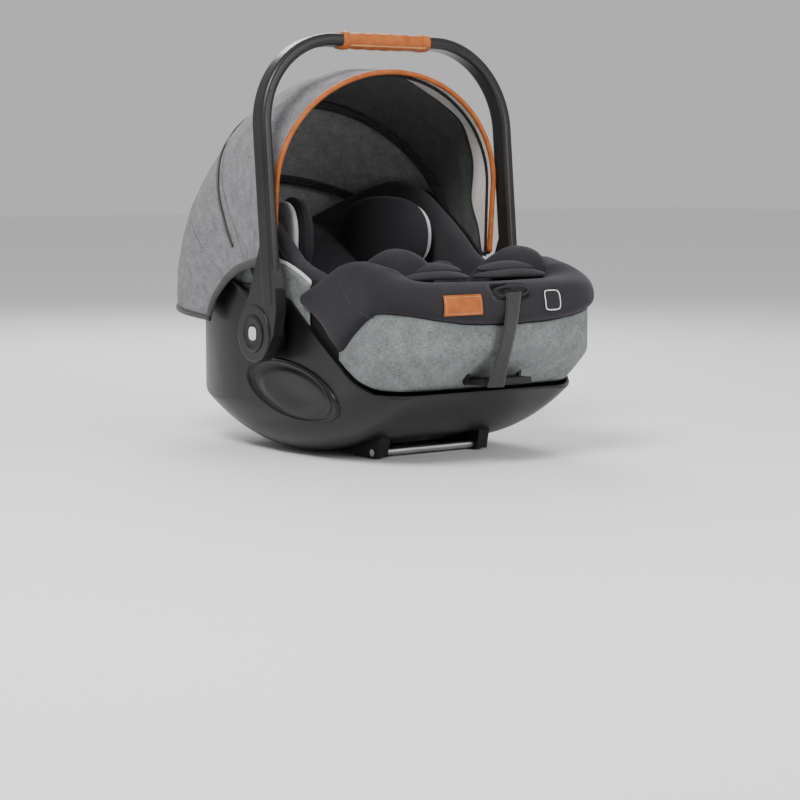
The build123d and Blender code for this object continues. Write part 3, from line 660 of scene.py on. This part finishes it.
def edge_stitches(v):
    v = 0.01 + 0.98 * v
    point, back, out = arch(-4.6, -0.0012)(v)
    ahead, _, _ = arch(-4.6, -0.0012)(min(v + 0.004, 1.0))
    along = (ahead - point).normalized() if (ahead - point).length > 1e-6 else back.cross(out)
    return point + out * 0.0027 + back * 0.0029, along, (out + back * 0.6).normalized()


stitch_row(
    "canopy_edge_stitches", edge_stitches, 190, 0.0026, thread_tan, "canopy_front", 0.00045,
)

# %% [markdown]
# The grip is leather wrapped round the handle's top bar, laced underneath, with a raised cuff at each
# end. A tube follows the bar, and its section swells at the cuffs.

# %% leather grip
low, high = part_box("leather_grip")
grip_mid = (Vector(low) + Vector(high)) / 2
grip_half = Vector(high) - grip_mid


def grip_swell(x):
    edge = grip_half.x - abs(x)
    cuff = 0.0014 if 0.0015 < edge < 0.0115 else 0.0
    groove = -0.0006 if 0.0115 <= edge < 0.0135 else 0.0
    ends = -0.0022 * exp(-((edge / 0.0012) ** 2))
    return cuff + groove + ends + 0.0004 * sin(260 * x) + 0.0012 * (1 - (x / grip_half.x) ** 2)


def grip_place(u, v):
    x = grip_half.x * (2 * v - 1)
    swell = grip_swell(x)
    side, up = oval(grip_half.y + swell - 0.0012, grip_half.z + swell - 0.0008, 2.7)(2 * pi * u)
    return grip_mid + Vector((x, side, up))


grip = sewn(sheet_grid(40, 120, grip_place, (0.09, 0.152)), capped=False)
grip_piece = make("grip_leather_wrap", grip, tan_leather, "carry_handle", ["leather_grip"])
thicken(grip_piece, 0.001)


def lacing(t):
    x = grip_half.x * 0.86 * (2 * t - 1)
    return (
        grip_mid + Vector((x, -grip_half.y * 0.9 - 0.0006, -grip_half.z * 0.62)),
        Vector((0.8, 0.0, 0.6)), Vector((0, -0.8, -0.6)),
    )


stitch_row("grip_lacing", lacing, 30, 0.0048, thread_tan, "carry_handle")
for sign, label in ((-1, "right"), (1, "left")):
    def cuff(t, sign=sign):
        side, up = oval(grip_half.y + 0.0018, grip_half.z + 0.0018, 2.7)(2 * pi * t)
        ahead = oval(grip_half.y, grip_half.z, 2.7)(2 * pi * t + 0.05)
        along = Vector((0, ahead[0] - side, ahead[1] - up)).normalized()
        point = grip_mid + Vector((sign * (grip_half.x - 0.0098), side, up))
        return point, along, Vector((0, side, up)).normalized()

    row = f"grip_cuff_stitches_{label}"
    stitch_row(row, cuff, 26, 0.0024, thread_tan, "carry_handle", 0.0004)
print("grip", [round(c, 3) for c in grip_half * 2])

# %% [markdown]
# Each hub has a round button. A circle is inset and lifted ring by ring, which gives a crisp edge and a
# soft dish. A plain pale lozenge marks where it is pressed.

# %% hub buttons
# Each ring is an inset and a lift; a ring with no inset is extruded.
BUTTON_RINGS = [(0.0, 0.0045), (0.0012, 0.001), (0.0035, 0.0002), (0.0012, -0.0012)]
BUTTON_RINGS += [(0.006, -0.0004), (0.006, 0.0003)]
for sign, label in ((-1, "right"), (1, "left")):
    low, high = (Vector(c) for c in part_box(f"handle_button_{label}"))
    middle, radius = (low + high) / 2, (high.y - low.y) / 2
    inner, outer = (high.x, low.x) if sign < 0 else (low.x, high.x)
    bm = bmesh.new()
    bmesh.ops.create_circle(bm, cap_ends=True, segments=64, radius=radius)
    face = bm.faces[:]
    for inset, lift in BUTTON_RINGS:
        if inset:
            bmesh.ops.inset_region(bm, faces=face, thickness=inset, depth=0)
        else:
            made = bmesh.ops.extrude_face_region(bm, geom=face)["geom"]
            face = [g for g in made if isinstance(g, bmesh.types.BMFace)]
        bmesh.ops.translate(bm, verts=list({v for f in face for v in f.verts}), vec=(0, 0, lift))
    for vert in bm.verts:
        x, y, z = vert.co
        vert.co = Vector((inner + sign * z * 0.98, middle.y + x, middle.z + y))
    make(
        f"hub_button_{label}", bm, button_black, f"hub_button_{label}",
        [f"handle_button_{label}"], smooth=False,
    )
    mark = pillow(6, 3.0, lambda x, y, z: (
        outer - sign * 0.0022 + sign * 0.0014 * x, middle.y + 0.0095 * y, middle.z + 0.0095 * z
    ))
    make(f"hub_button_mark_{label}", mark, inlay_grey, f"hub_button_{label}")
print("hub buttons made")

# %% [markdown]
# The shell's sides carry an oval dish: a raised lip and, inside it, a smooth pad set towards the feet.
# The dish is a grid in polar form. Its rings rise and fall by a formula, and its middle is merged to a
# point.

# %% oval side dishes
for sign, label in ((-1, "right"), (1, "left")):
    low, high = (Vector(c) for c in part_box(f"side_panel_{label}"))
    middle = (low + high) / 2
    wall = high.x if sign < 0 else low.x

    def dish(u, v, sign=sign, middle=middle, wall=wall):
        a = 2 * pi * v
        y, z = 0.112 * u * cos(a), 0.0395 * u * sin(a)
        y, z = y - 0.035 * z, z + 0.13 * y - 0.001
        lip = 0.0034 * exp(-((u - 0.955) / 0.028) ** 2) + 0.0012 * exp(-((u - 0.86) / 0.02) ** 2)
        inner = hypot((y + 0.014) / 0.086, (z - 0.13 * y + 0.004) / 0.030)
        pad = 0.0026 / (1 + exp((inner - 1) / 0.035)) - 0.0012 * exp(-(inner / 0.6) ** 2)
        point = Vector((0, middle.y + y, middle.z + z))
        reach = hypot(point.y - cradle.y, point.z - cradle.z)
        curve = 0.058 - sqrt(max(0.058 ** 2 - max(reach - 0.35, 0) ** 2, 0))
        point.x = wall + sign * (lip + pad + 0.0006 - curve) - sign * 0.0012 * max(0, u - 0.97) / 0.03
        return point

    bm = sheet_grid(44, 120, dish, (0.1, 0.4))
    sewn(bm, capped=False, gap=2e-5)
    piece = make(
        f"side_dish_{label}", bm, shell_black, "carrier_shell",
        [f"side_panel_{label}"], (0, middle.y, middle.z),
    )
    thicken(piece, 0.0012)
print("side dishes made")

# %% [markdown]
# The seat's rim is described once, as height against distance along the seat. The side cushion reads it.
# The plan is a horseshoe: straight sides, and a half ellipse round the head.

# %% outlines of the padded seat
RIM = [(-0.262, 0.222), (-0.235, 0.256), (-0.212, 0.268), (-0.186, 0.258), (-0.152, 0.240), (-0.11, 0.25)]
RIM += [(-0.062, 0.268), (-0.028, 0.296), (0.02, 0.33), (0.069, 0.359), (0.12, 0.371), (0.2, 0.346)]
RIM += [(0.258, 0.302), (0.290, 0.262)]
BEND_Y = 0.06


def horseshoe(half, length, start, u):
    """Point on the plan and its outward direction, from the right side round the head to the left."""
    side, crown = BEND_Y - start, pi * sqrt((half * half + length * length) / 2)
    run = u * (2 * side + crown)
    if run < side:
        return Vector((-half, start + run, 0)), Vector((-1, 0, 0))
    if run > side + crown:
        return Vector((half, start + 2 * side + crown - run, 0)), Vector((1, 0, 0))
    a = pi * (1 - (run - side) / crown)
    out = Vector((cos(a) / half, sin(a) / length, 0)).normalized()
    return Vector((half * cos(a), BEND_Y + length * sin(a), 0)), out


def back_line(along, above=0.0):
    """Point on the middle of the backrest: distance up it, and height off it."""
    turn = atan2(0.216, 0.38)
    up, off = Vector((0, cos(turn), sin(turn))), Vector((0, -sin(turn), cos(turn)))
    return Vector((0, -0.118, 0.076)) + up * along + off * above


# %% [markdown]
# The side walls are one long cushion in a horseshoe, thick at the shoulders and low at the hips. Its
# section is a tall rounded block, so the crown is soft and the inner face stands up from the back.

# %% side cushion
def wall_centre(v):
    spot, out = horseshoe(0.1515, 0.2105, -0.226, v)
    crest = between(RIM, spot.y) + 0.006
    foot = max(0.082, 0.076 + (spot.y + 0.118) * 0.568 - 0.012)
    deep = max((crest - foot) / 2, 0.024)
    spot.z = crest - deep
    return spot, out, deep


def wall_place(u, v):
    spot, out, deep = wall_centre(v)
    side, up = oval(0.0175, deep, 3.0)(2 * pi * u)
    crown = max(0.0, up / deep)
    low, head = 1 - crown, min(1.0, max(0.0, (spot.y - 0.14) / 0.06))
    side *= 1 + 0.12 * low - (0.75 * head * low if side < 0 else 0.0)
    return spot + out * (side + 0.001 * crown ** 3) + Vector((0, 0, up))


wall = sewn(sheet_grid(36, 150, wall_place, (0.2, 0.95)))
wall_piece = make(
    "side_cushion", wall, charcoal_knit, "seat",
    ["side_bolster_right", "side_bolster_left"],
)

# %% [markdown]
# Outside the cushion a grey skin covers the tub down to the shell, and a pale piping closes its upper
# edge.

# %% outer cover and its piping
EDGE = [(-0.15, 0.226), (-0.12, 0.241), (-0.1, 0.2505), (-0.062, 0.264), (-0.03, 0.273), (0.02, 0.300)]
EDGE += [(0.069, 0.330), (0.12, 0.344), (0.2, 0.322), (0.258, 0.280), (0.290, 0.244)]
SHELL_RIM = [(-0.284, 0.099), (-0.255, 0.101), (-0.211, 0.123), (-0.139, 0.171), (-0.076, 0.217)]
SHELL_RIM += [(-0.02, 0.232), (0.06, 0.236), (0.2, 0.226), (0.296, 0.214)]


def skin_plan(v):
    return horseshoe(0.1735, 0.2275, -0.118, v)


def skin_place(u, v):
    spot, out = skin_plan(v)
    edge = between(EDGE, spot.y)
    foot = straight(SHELL_RIM, spot.y) - 0.006
    tuck = -0.006 * max(0.0, 1 - u / 0.08)
    return spot + out * (0.0030 + tuck) + Vector((0, 0, edge + (foot - edge) * u))


def skin_edge(v):
    return skin_place(0.03, v) + Vector((0, 0, 0.0015)), skin_plan(v)[1], Vector((0, 0, 1))


skin = sheet_grid(14, 150, skin_place, (0.06, 0.95))
skin_area = cloth_area(skin)
skin_piece = make(
    "outer_side_cover", skin, grey_skin, "seat",
    ["side_cover_right", "side_cover_left"], (0, 0.02, 0.25),
)
thicken(skin_piece, 0.0016)
skin_piping = tube(150, 10, skin_edge, oval(0.0026, 0.0034), 0.95)
make("outer_cover_piping", skin_piping, pale_grey, "seat")
print("side cushion and outer cover made, cover", round(skin_area, 3), "m2")


# %% [markdown]
# A thin quilted liner covers the foam from the knees down to the seat and up the back. The grid follows
# three straight runs in side view, and sewn channels press it down every few centimetres.

# %% liner
LINER_LINE = [(-0.262, 0.184), (-0.18, 0.078), (-0.118, 0.0775), (0.262, 0.2945)]
LINER_LENGTH, CHANNEL = 0.62, 0.026


def liner_place(u, v):
    y, z, index, _ = on_line(LINER_LINE, v)
    half = 0.142 if y < BEND_Y else 0.142 * sqrt(max(0.02, 1 - ((y - BEND_Y) / 0.215) ** 2))
    x = (2 * u - 1) * half
    quilt = 0.0016 * abs(sin(pi * (v * LINER_LENGTH) / CHANNEL)) ** 0.5 if index == 2 else 0.001
    return Vector((x, y, z + quilt))


liner = sheet_grid(30, 150, liner_place, (0.284, LINER_LENGTH))
liner_piece = make("seat_liner", liner, black_knit, "seat", (), (0, 0, -3))
thicken(liner_piece, 0.001)


# %% [markdown]
# The front of the seat is a fat roll. It starts beside the hips, runs round the corners and crosses the
# front. Its height and its lower seam change along the way, so the section is stretched between two
# formulas.

# %% front roll
slot_low, slot_high = (Vector(c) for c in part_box("adjuster_bezel"))
slot_mid = (slot_low + slot_high) / 2
ROLL_SIDE, ROLL_FRONT_Y, ROLL_CORNER, ROLL_START, ROLL_SQUARE = 0.183, -0.333, 0.078, -0.108, 2.9
ROLL_LEG = ROLL_START - (ROLL_FRONT_Y + ROLL_CORNER)
ROLL_BEND, ROLL_FLAT = ROLL_CORNER * pi / 2, ROLL_SIDE - ROLL_CORNER
ROLL_HALF = ROLL_LEG + ROLL_BEND + ROLL_FLAT
# Height of the top, height of the lower seam and half thickness, against the distance run from a rear end.
ROLL_TOP = [(0.0, 0.228), (0.037, 0.248), (0.072, 0.268), (0.1, 0.2735), (0.14, 0.267), (0.19, 0.255)]
ROLL_TOP += [(0.24, 0.2495), (0.375, 0.246)]
ROLL_SEAM = [(0.0, 0.212), (0.042, 0.184), (0.082, 0.150), (0.118, 0.175), (0.154, 0.199), (0.175, 0.2055)]
ROLL_SEAM += [(0.21, 0.2035), (0.25, 0.197), (0.3, 0.190), (0.375, 0.187)]
ROLL_THICK = [(0.0, 0.008), (0.05, 0.015), (0.1, 0.024), (0.16, 0.032), (0.22, 0.036), (0.375, 0.036)]


def roll_plan(v):
    """From the right side to the left; gives a plan point, its outward direction and the distance run."""
    run, sign = v * 2 * ROLL_HALF, -1
    if run > ROLL_HALF:
        run, sign = 2 * ROLL_HALF - run, 1
    if run < ROLL_LEG:
        return Vector((sign * ROLL_SIDE, ROLL_START - run, 0)), Vector((sign, 0, 0)), run
    if run < ROLL_LEG + ROLL_BEND:
        a = (run - ROLL_LEG) / ROLL_CORNER
        out = Vector((sign * cos(a), -sin(a), 0))
        centre = Vector((sign * ROLL_FLAT, ROLL_FRONT_Y + ROLL_CORNER, 0))
        return centre + out * ROLL_CORNER, out, run
    x = sign * (ROLL_FLAT - (run - ROLL_LEG - ROLL_BEND))
    return Vector((x, ROLL_FRONT_Y, 0)), Vector((0, -1, 0)), run


def roll_section(run):
    """Middle height, half height and half thickness at a distance run."""
    top, seam = between(ROLL_TOP, run), between(ROLL_SEAM, run)
    return (top + seam) / 2, (top - seam) / 2, between(ROLL_THICK, run)


def roll_skin(v, up):
    """Point on the roll's outer side, at a share of its half height; its outward direction."""
    spot, out, run = roll_plan(v)
    middle, deep, thick = roll_section(run)
    side = thick * (1 - min(1.0, abs(up)) ** ROLL_SQUARE) ** (1 / ROLL_SQUARE)
    reach = side - thick + 0.003 * cos(pi * up / 2.2) - 0.004 * up * min(1.0, run / 0.12)
    return spot + out * reach + Vector((0, 0, middle + deep * up)), out


def roll_place(u, v):
    spot, out, run = roll_plan(v)
    middle, deep, thick = roll_section(run)
    side, up = oval(thick, deep, ROLL_SQUARE)(2 * pi * u)
    bulge = 0.003 * cos(pi * up / (2.2 * deep)) if side > 0 else 0.0
    lean = 0.004 * (up / deep) * min(1.0, run / 0.12)
    tuck = -0.0025 * exp(-((up / deep + 0.93) / 0.12) ** 2)
    if side > 0:
        tuck -= 0.022 * exp(-((spot.x / 0.026) ** 6) - ((middle + up - slot_mid.z - 0.001) / 0.0085) ** 4)
    return spot + out * (side - thick + bulge - lean + tuck) + Vector((0, 0, middle + up))


roll = sewn(sheet_grid(84, 260, roll_place, (0.22, 0.75)))
roll_piece = make("front_roll_cover", roll, black_knit, "seat", ["front_roll"])


def flap_seam(sign):
    """Crease on the side flap, from the crown forward and down to the lower seam."""

    def centre(t):
        share = (0.074 + 0.086 * t) / (2 * ROLL_HALF)
        point, out = roll_skin(share if sign < 0 else 1 - share, 0.96 - 1.90 * t)
        return point - out * 0.0002, out, Vector((0, 0, 1))

    return centre


for sign, label in ((-1, "right"), (1, "left")):
    crease = tube(40, 8, flap_seam(sign), oval(0.0009, 0.0014), 0.1)
    make(f"roll_flap_seam_{label}", crease, charcoal_knit, "seat")


# %% [markdown]
# Below the roll a grey apron is stretched over the tub's nose, which is part of a drum about the cradle
# axis. Each point starts inside the tub and moves outwards, by halving steps, until it meets the tub's
# skin.

# %% grey apron
TUB_REACH, TUB_ROUND, TUB_FLAT = 0.3952, 0.0535, 0.1255
TUB_HALF, TUB_NOSE_Y, TUB_CORNER = 0.1765, -0.3275, 0.070
APRON_FOOT = [(0.078, 0.1445), (0.103, 0.129), (0.147, 0.1105), (0.2, 0.1045), (0.375, 0.1025)]


def in_tub(x, y, z):
    """Inside the drum, its rounded rims and the rounded corners of its plan."""
    reach = hypot(y - cradle.y, z - cradle.z)
    over = max(0.0, reach - 0.342)
    if reach > TUB_REACH or over > TUB_ROUND:
        return False
    side = TUB_FLAT + sqrt(TUB_ROUND ** 2 - over ** 2)
    lean = max(0.0, TUB_NOSE_Y + TUB_CORNER - y)
    plan = TUB_HALF - TUB_CORNER + sqrt(max(0.0, TUB_CORNER ** 2 - lean ** 2))
    return abs(x) < min(side, plan) and y > TUB_NOSE_Y


def apron_place(u, v):
    v = 0.108 + 0.784 * v
    spot, _, run = roll_plan(v)
    seam = between(ROLL_SEAM, run) + 0.003
    z = seam + (between(APRON_FOOT, run) - seam) * u
    middle = Vector((0, -0.14, z))
    aim = Vector((spot.x, spot.y, z)) - middle
    low, high = 0.0, 1.2
    for _ in range(24):
        step = (low + high) / 2
        here = middle + aim * step
        if in_tub(here.x, here.y, z):
            low = step
        else:
            high = step
    return middle + aim * low


apron = sheet_grid(26, 170, apron_place, (0.1, 0.62))
inner_verts = [v for v in apron.verts if not v.is_boundary]
for _ in range(3):
    bmesh.ops.smooth_vert(
        apron, verts=inner_verts, factor=0.5, use_axis_x=True, use_axis_y=True, use_axis_z=True,
    )
apron_area = cloth_area(apron)
apron_piece = make(
    "front_apron_cover", apron, grey_skin, "seat", ["front_apron"], (0, -0.15, 0.2),
)
thicken(apron_piece, 0.002)
print("roll and apron made")


# %% [markdown]
# The newborn insert has two plump thigh lobes with a soft lip along the front of each. A lobe is a pillow
# leaned back, and its lip is a flat pillow that curls up at the edge.

# %% insert lobes and lips
def lobe(sign):
    def place(x, y, z):
        width = 0.046 * (1 - 0.06 * z)
        return (
            sign * (0.0985 + width * x), -0.198 + 0.056 * y - 0.010 * z,
            0.224 + 0.061 * z + 0.005 * (1 - x * x) * max(z, 0.0) - 0.022 * max(0.0, y) * max(0.0, z)
            - 0.012 * max(0.0, -x) * max(z, 0.0),
        )

    return place


def lip(sign, rise, reach):
    def place(x, y, z):
        curl = 0.005 * (1 - x * x) - 0.003 * y * y
        return (
            sign * (0.068 + 0.062 * reach * x), -0.250 + rise * 0.7 + 0.020 * reach * y + 0.004 * x * x,
            0.2505 + rise + curl + 0.0066 * z * (1 - 0.3 * x * x),
        )

    return place


for sign, label in ((-1, "right"), (1, "left")):
    shape = pillow(14, 3.3, lobe(sign))
    cushion(f"insert_lobe_cover_{label}", shape, black_knit, "seat", [f"insert_lobe_{label}"])
    for part, rise, reach in (("lower", 0.0, 1.0), ("upper", 0.009, 0.86)):
        shape = pillow(10, 2.5, lip(sign, rise, reach))
        cushion(f"insert_lip_{part}_{label}", shape, charcoal_knit, "seat", ())
print("insert lobes and lips made")

# %% [markdown]
# The insert's back pad is a flat cushion with a dimpled middle. It lies on the liner, tilted like the
# backrest.

# %% insert pad, crotch pad
def pad_place(x, y, z):
    here = back_line(0.097 + 0.088 * y, 0.0075 + 0.0052 * z * (1 - 0.2 * x * x))
    waist = 1 - 0.12 * exp(-((y - 0.1) / 0.35) ** 2)
    return here + Vector((0.092 * x * waist, 0, 0))


cushion("insert_back_pad", pillow(14, 4.0, pad_place), charcoal_knit, "seat", ["insert_pad"])


def crotch_place(x, y, z):
    middle_y = -0.186 + 0.006 * z
    return (0.033 * x * (1 - 0.08 * z), middle_y + 0.0085 * y * (1 + 0.25 * z), 0.178 + 0.092 * z)


cushion("crotch_pad_cover", pillow(12, 3.2, crotch_place), charcoal_knit, "seat", ["crotch_pad"])
print("insert pad and crotch pad made")

# %% [markdown]
# The headrest is a padded plate with two big oval wings. The inside of a wing is dark and its outside is
# pale grey. Each wing is turned open a little, like a cupped hand.

# %% headrest
def head_place(x, y, z):
    crown = 0.022 * z * (1 - 0.3 * (x * x + y * y) / 2)
    wave = 0.0008 * sin(2 * pi * y / 0.16) * max(z, 0)
    return back_line(0.325 + 0.082 * y, 0.042 + crown + wave) + Vector((0.081 * x, 0, 0))


cushion("headrest_pad_cover", pillow(14, 2.3, head_place), black_knit, "headrest", ["headrest_pad"])


def wing_frame(sign, label):
    low, high = (Vector(c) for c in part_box(f"headrest_wing_{label}"))
    turn = radians(20)
    inwards = Vector((-sign * cos(turn), -sin(turn), 0))
    forward = Vector((sign * sin(turn), -cos(turn), 0))
    return (low + high) / 2, inwards, forward


for sign, label in ((-1, "right"), (1, "left")):
    middle, inwards, forward = wing_frame(sign, label)
    middle, up = middle + inwards * -0.002 + Vector((0, 0, 0.001)), Vector((0, 0, 1))

    def dome(x, y, z, middle=middle, inwards=inwards, forward=forward):
        thick = 0.023 if x > 0 else 0.008
        puff = 1 - 0.10 * (y * y + z * z)
        return middle + inwards * (thick * x * puff + 0.003) + forward * (0.076 * y) + up * (0.057 * z)

    def outer(x, y, z, middle=middle, inwards=inwards, forward=forward):
        return middle + inwards * (0.010 * x - 0.010) + forward * (0.070 * y + 0.003) + up * (0.051 * z)

    inner_name, outer_name = f"headrest_wing_inner_{label}", f"headrest_wing_outer_{label}"
    cushion(inner_name, pillow(16, 2.5, dome), black_knit, "headrest", [f"headrest_wing_{label}"])
    cushion(outer_name, pillow(14, 2.5, outer), pale_grey, "headrest", ())
print("headrest made")


# %% [markdown]
# Harness webbing is modelled directly as a flat band that follows a line of points. The shoulder pads are
# long pillows wrapped round it.

# %% harness
def band_place(points, half, side=0.0):
    """place(u, v) for a band across X that follows (y, z) points, and the band's length."""

    def place(u, v):
        y, z, *_ = on_line(points, v)
        return Vector((side + (2 * u - 1) * half, y, z))

    return place, on_line(points, 1.0)[3]


def eased(points, rounds=3):
    """Cuts the corners of a line of points, so that webbing bends softly."""
    for _ in range(rounds):
        cut = [points[0]]
        for a, b in zip(points, points[1:]):
            cut.append((0.75 * a[0] + 0.25 * b[0], 0.75 * a[1] + 0.25 * b[1]))
            cut.append((0.25 * a[0] + 0.75 * b[0], 0.25 * a[1] + 0.75 * b[1]))
        points = cut + [points[-1]]
    return points


STRAP_X = 0.0425
slot_at, bend_at = back_line(0.188, 0.018), back_line(0.078, 0.053)
for sign, label in ((-1, "right"), (1, "left")):
    route = eased([(slot_at.y, slot_at.z), (bend_at.y, bend_at.z), (-0.150, 0.2105)])
    place, length = band_place(route, 0.0125, sign * STRAP_X)
    piece = make(
        f"shoulder_webbing_{label}", sheet_grid(6, 60, place, (0.025, length)), webbing_black,
        "seat", [f"shoulder_strap_{label}"], (0, 0, -3),
    )
    thicken(piece, 0.0016, offset=0.0)

    def soft(x, y, z, sign=sign):
        here = back_line(0.134 + 0.040 * y, 0.0455 - 0.0125 * y + 0.0055 * z)
        return here + Vector((sign * STRAP_X + 0.0205 * x, 0, 0))

    cover_name = f"shoulder_pad_cover_{label}"
    cushion(cover_name, pillow(10, 3.2, soft), black_knit, "seat", [f"shoulder_pad_{label}"])
place, length = band_place([(-0.150, 0.078), (-0.150, 0.1317)], 0.025)
piece = make(
    "crotch_webbing", sheet_grid(6, 12, place, (0.05, length)), webbing_black, "seat",
    ["crotch_strap"], (0, 3, 0),
)
thicken(piece, 0.0016, offset=0.0)
print("harness made")


# %% [markdown]
# The harness is tightened through a puckered slot in the roll, and the pull strap hangs from it over the
# apron. The slot's lips are two soft ridges, and the strap is a free band that swings slightly to one
# side.

# %% adjuster slot and pull strap
def lip_line(v):
    a = 2 * pi * v
    side, up = oval(0.0275, 0.0068, 2.4)(a)
    point = slot_mid + Vector((side, 0.0005 + 0.0006 * cos(2 * a), up + 0.0015))
    return point, Vector((0, -1, 0)), Vector((side, 0, up)).normalized()


slot_lips = tube(70, 12, lip_line, oval(0.0028, 0.0032), 0.12, closed=True)
make("adjuster_slot_lips", slot_lips, black_knit, "seat", ["adjuster_bezel"])
pull_low, pull_high = (Vector(c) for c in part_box("adjuster_strap"))
pull_y = (pull_low.y + pull_high.y) / 2


def pull_place(u, v):
    z = slot_mid.z + 0.001 - v * (slot_mid.z - pull_low.z)
    swing = -0.028 * v ** 1.3
    twist = 0.0022 * sin(pi * v * 1.3)
    x = (2 * u - 1) * 0.0125
    y = pull_y - 0.0024 - 0.0035 * sin(pi * min(1.0, v * 1.4)) + 0.0022 * v + x / 0.0125 * twist
    return Vector((x + swing, y, z))


pull = sheet_grid(6, 60, pull_place, (0.025, 0.13))
pull_piece = make(
    "adjuster_pull_strap", pull, webbing_black, "seat", ["adjuster_strap"], (0, 3, 0.17),
)
thicken(pull_piece, 0.0016, offset=0.0)

# %% [markdown]
# A leather tag and a small label are sewn to the front of the roll. The tag is blank, the label has an
# outline. Each is a thin sheet laid a hair off the roll's surface, with a row of stitches or a printed
# outline.


# %% leather tag and label
def on_roll(x, z, off=0.0):
    """Point on the front of the roll at a place across it and a height."""
    share = 0.5 + 0.5 * x / ROLL_HALF
    spot, _, run = roll_plan(share)
    middle, deep, _ = roll_section(run)
    point, out = roll_skin(share, max(-0.97, min(0.97, (z - middle) / deep)))
    point += out * off
    point.x += x - spot.x
    point.z = z
    return point, out


def patch_place(x0, z0, half_x, half_z, off):
    """place(u, v) for a flat patch laid on the roll."""

    def place(u, v):
        a, b = 2 * u - 1, 2 * v - 1
        return on_roll(x0 + half_x * a, z0 + half_z * b, off)[0]

    return place


TAG_X, TAG_Z, TAG_SEAM_X, TAG_SEAM_Z = -0.084, 0.2195, 0.0285, 0.0108
LABEL_X, LABEL_Z, LABEL_HALF = 0.068, 0.221, 0.0140
tag = sheet_grid(18, 10, patch_place(TAG_X, TAG_Z, 0.031, 0.013, 0.0012), (0.062, 0.026))
tag_piece = make("leather_tag_blank", tag, tan_leather, "seat", ["leather_tag"], (0, 0, 0.22))
thicken(tag_piece, 0.0014, offset=1.0)


def tag_edge(t):
    """Round the tag's seam, one straight leg after another."""
    run = t * 4 * (TAG_SEAM_X + TAG_SEAM_Z)
    for x, z, dx, dz in ((-1, -1, 1, 0), (1, -1, 0, 1), (1, 1, -1, 0), (-1, 1, 0, -1)):
        length = 2 * (TAG_SEAM_X if dx else TAG_SEAM_Z)
        if run <= length or (x, z) == (-1, 1):
            break
        run -= length
    x, z = TAG_X + TAG_SEAM_X * x, TAG_Z + TAG_SEAM_Z * z
    point, out = on_roll(x + dx * run, z + dz * run, 0.0029)
    ahead, _ = on_roll(x + dx * (run + 0.001), z + dz * (run + 0.001), 0.0029)
    return point, (ahead - point).normalized(), out


stitch_row("leather_tag_stitches", tag_edge, 46, 0.0022, thread_tan, "seat", 0.00035)
patch = sheet_grid(12, 12, patch_place(LABEL_X, LABEL_Z, LABEL_HALF, LABEL_HALF, 0.0008), (0.028, 0.028))
label_piece = make("care_label_patch", patch, black_knit, "seat", ["care_label"], (0, 0, 0.22))
thicken(label_piece, 0.0005, offset=1.0)


def label_outline(v):
    side, up = oval(0.0128, 0.0128, 5.0)(2 * pi * v)
    point, out = on_roll(LABEL_X + side, LABEL_Z + up, 0.0014)
    return point, out, Vector((side, 0, up)).normalized()


outline = tube(60, 8, label_outline, oval(0.0003, 0.0007), 0.1, closed=True)
make("care_label_outline", outline, print_white, "seat")
print("tag and label made")
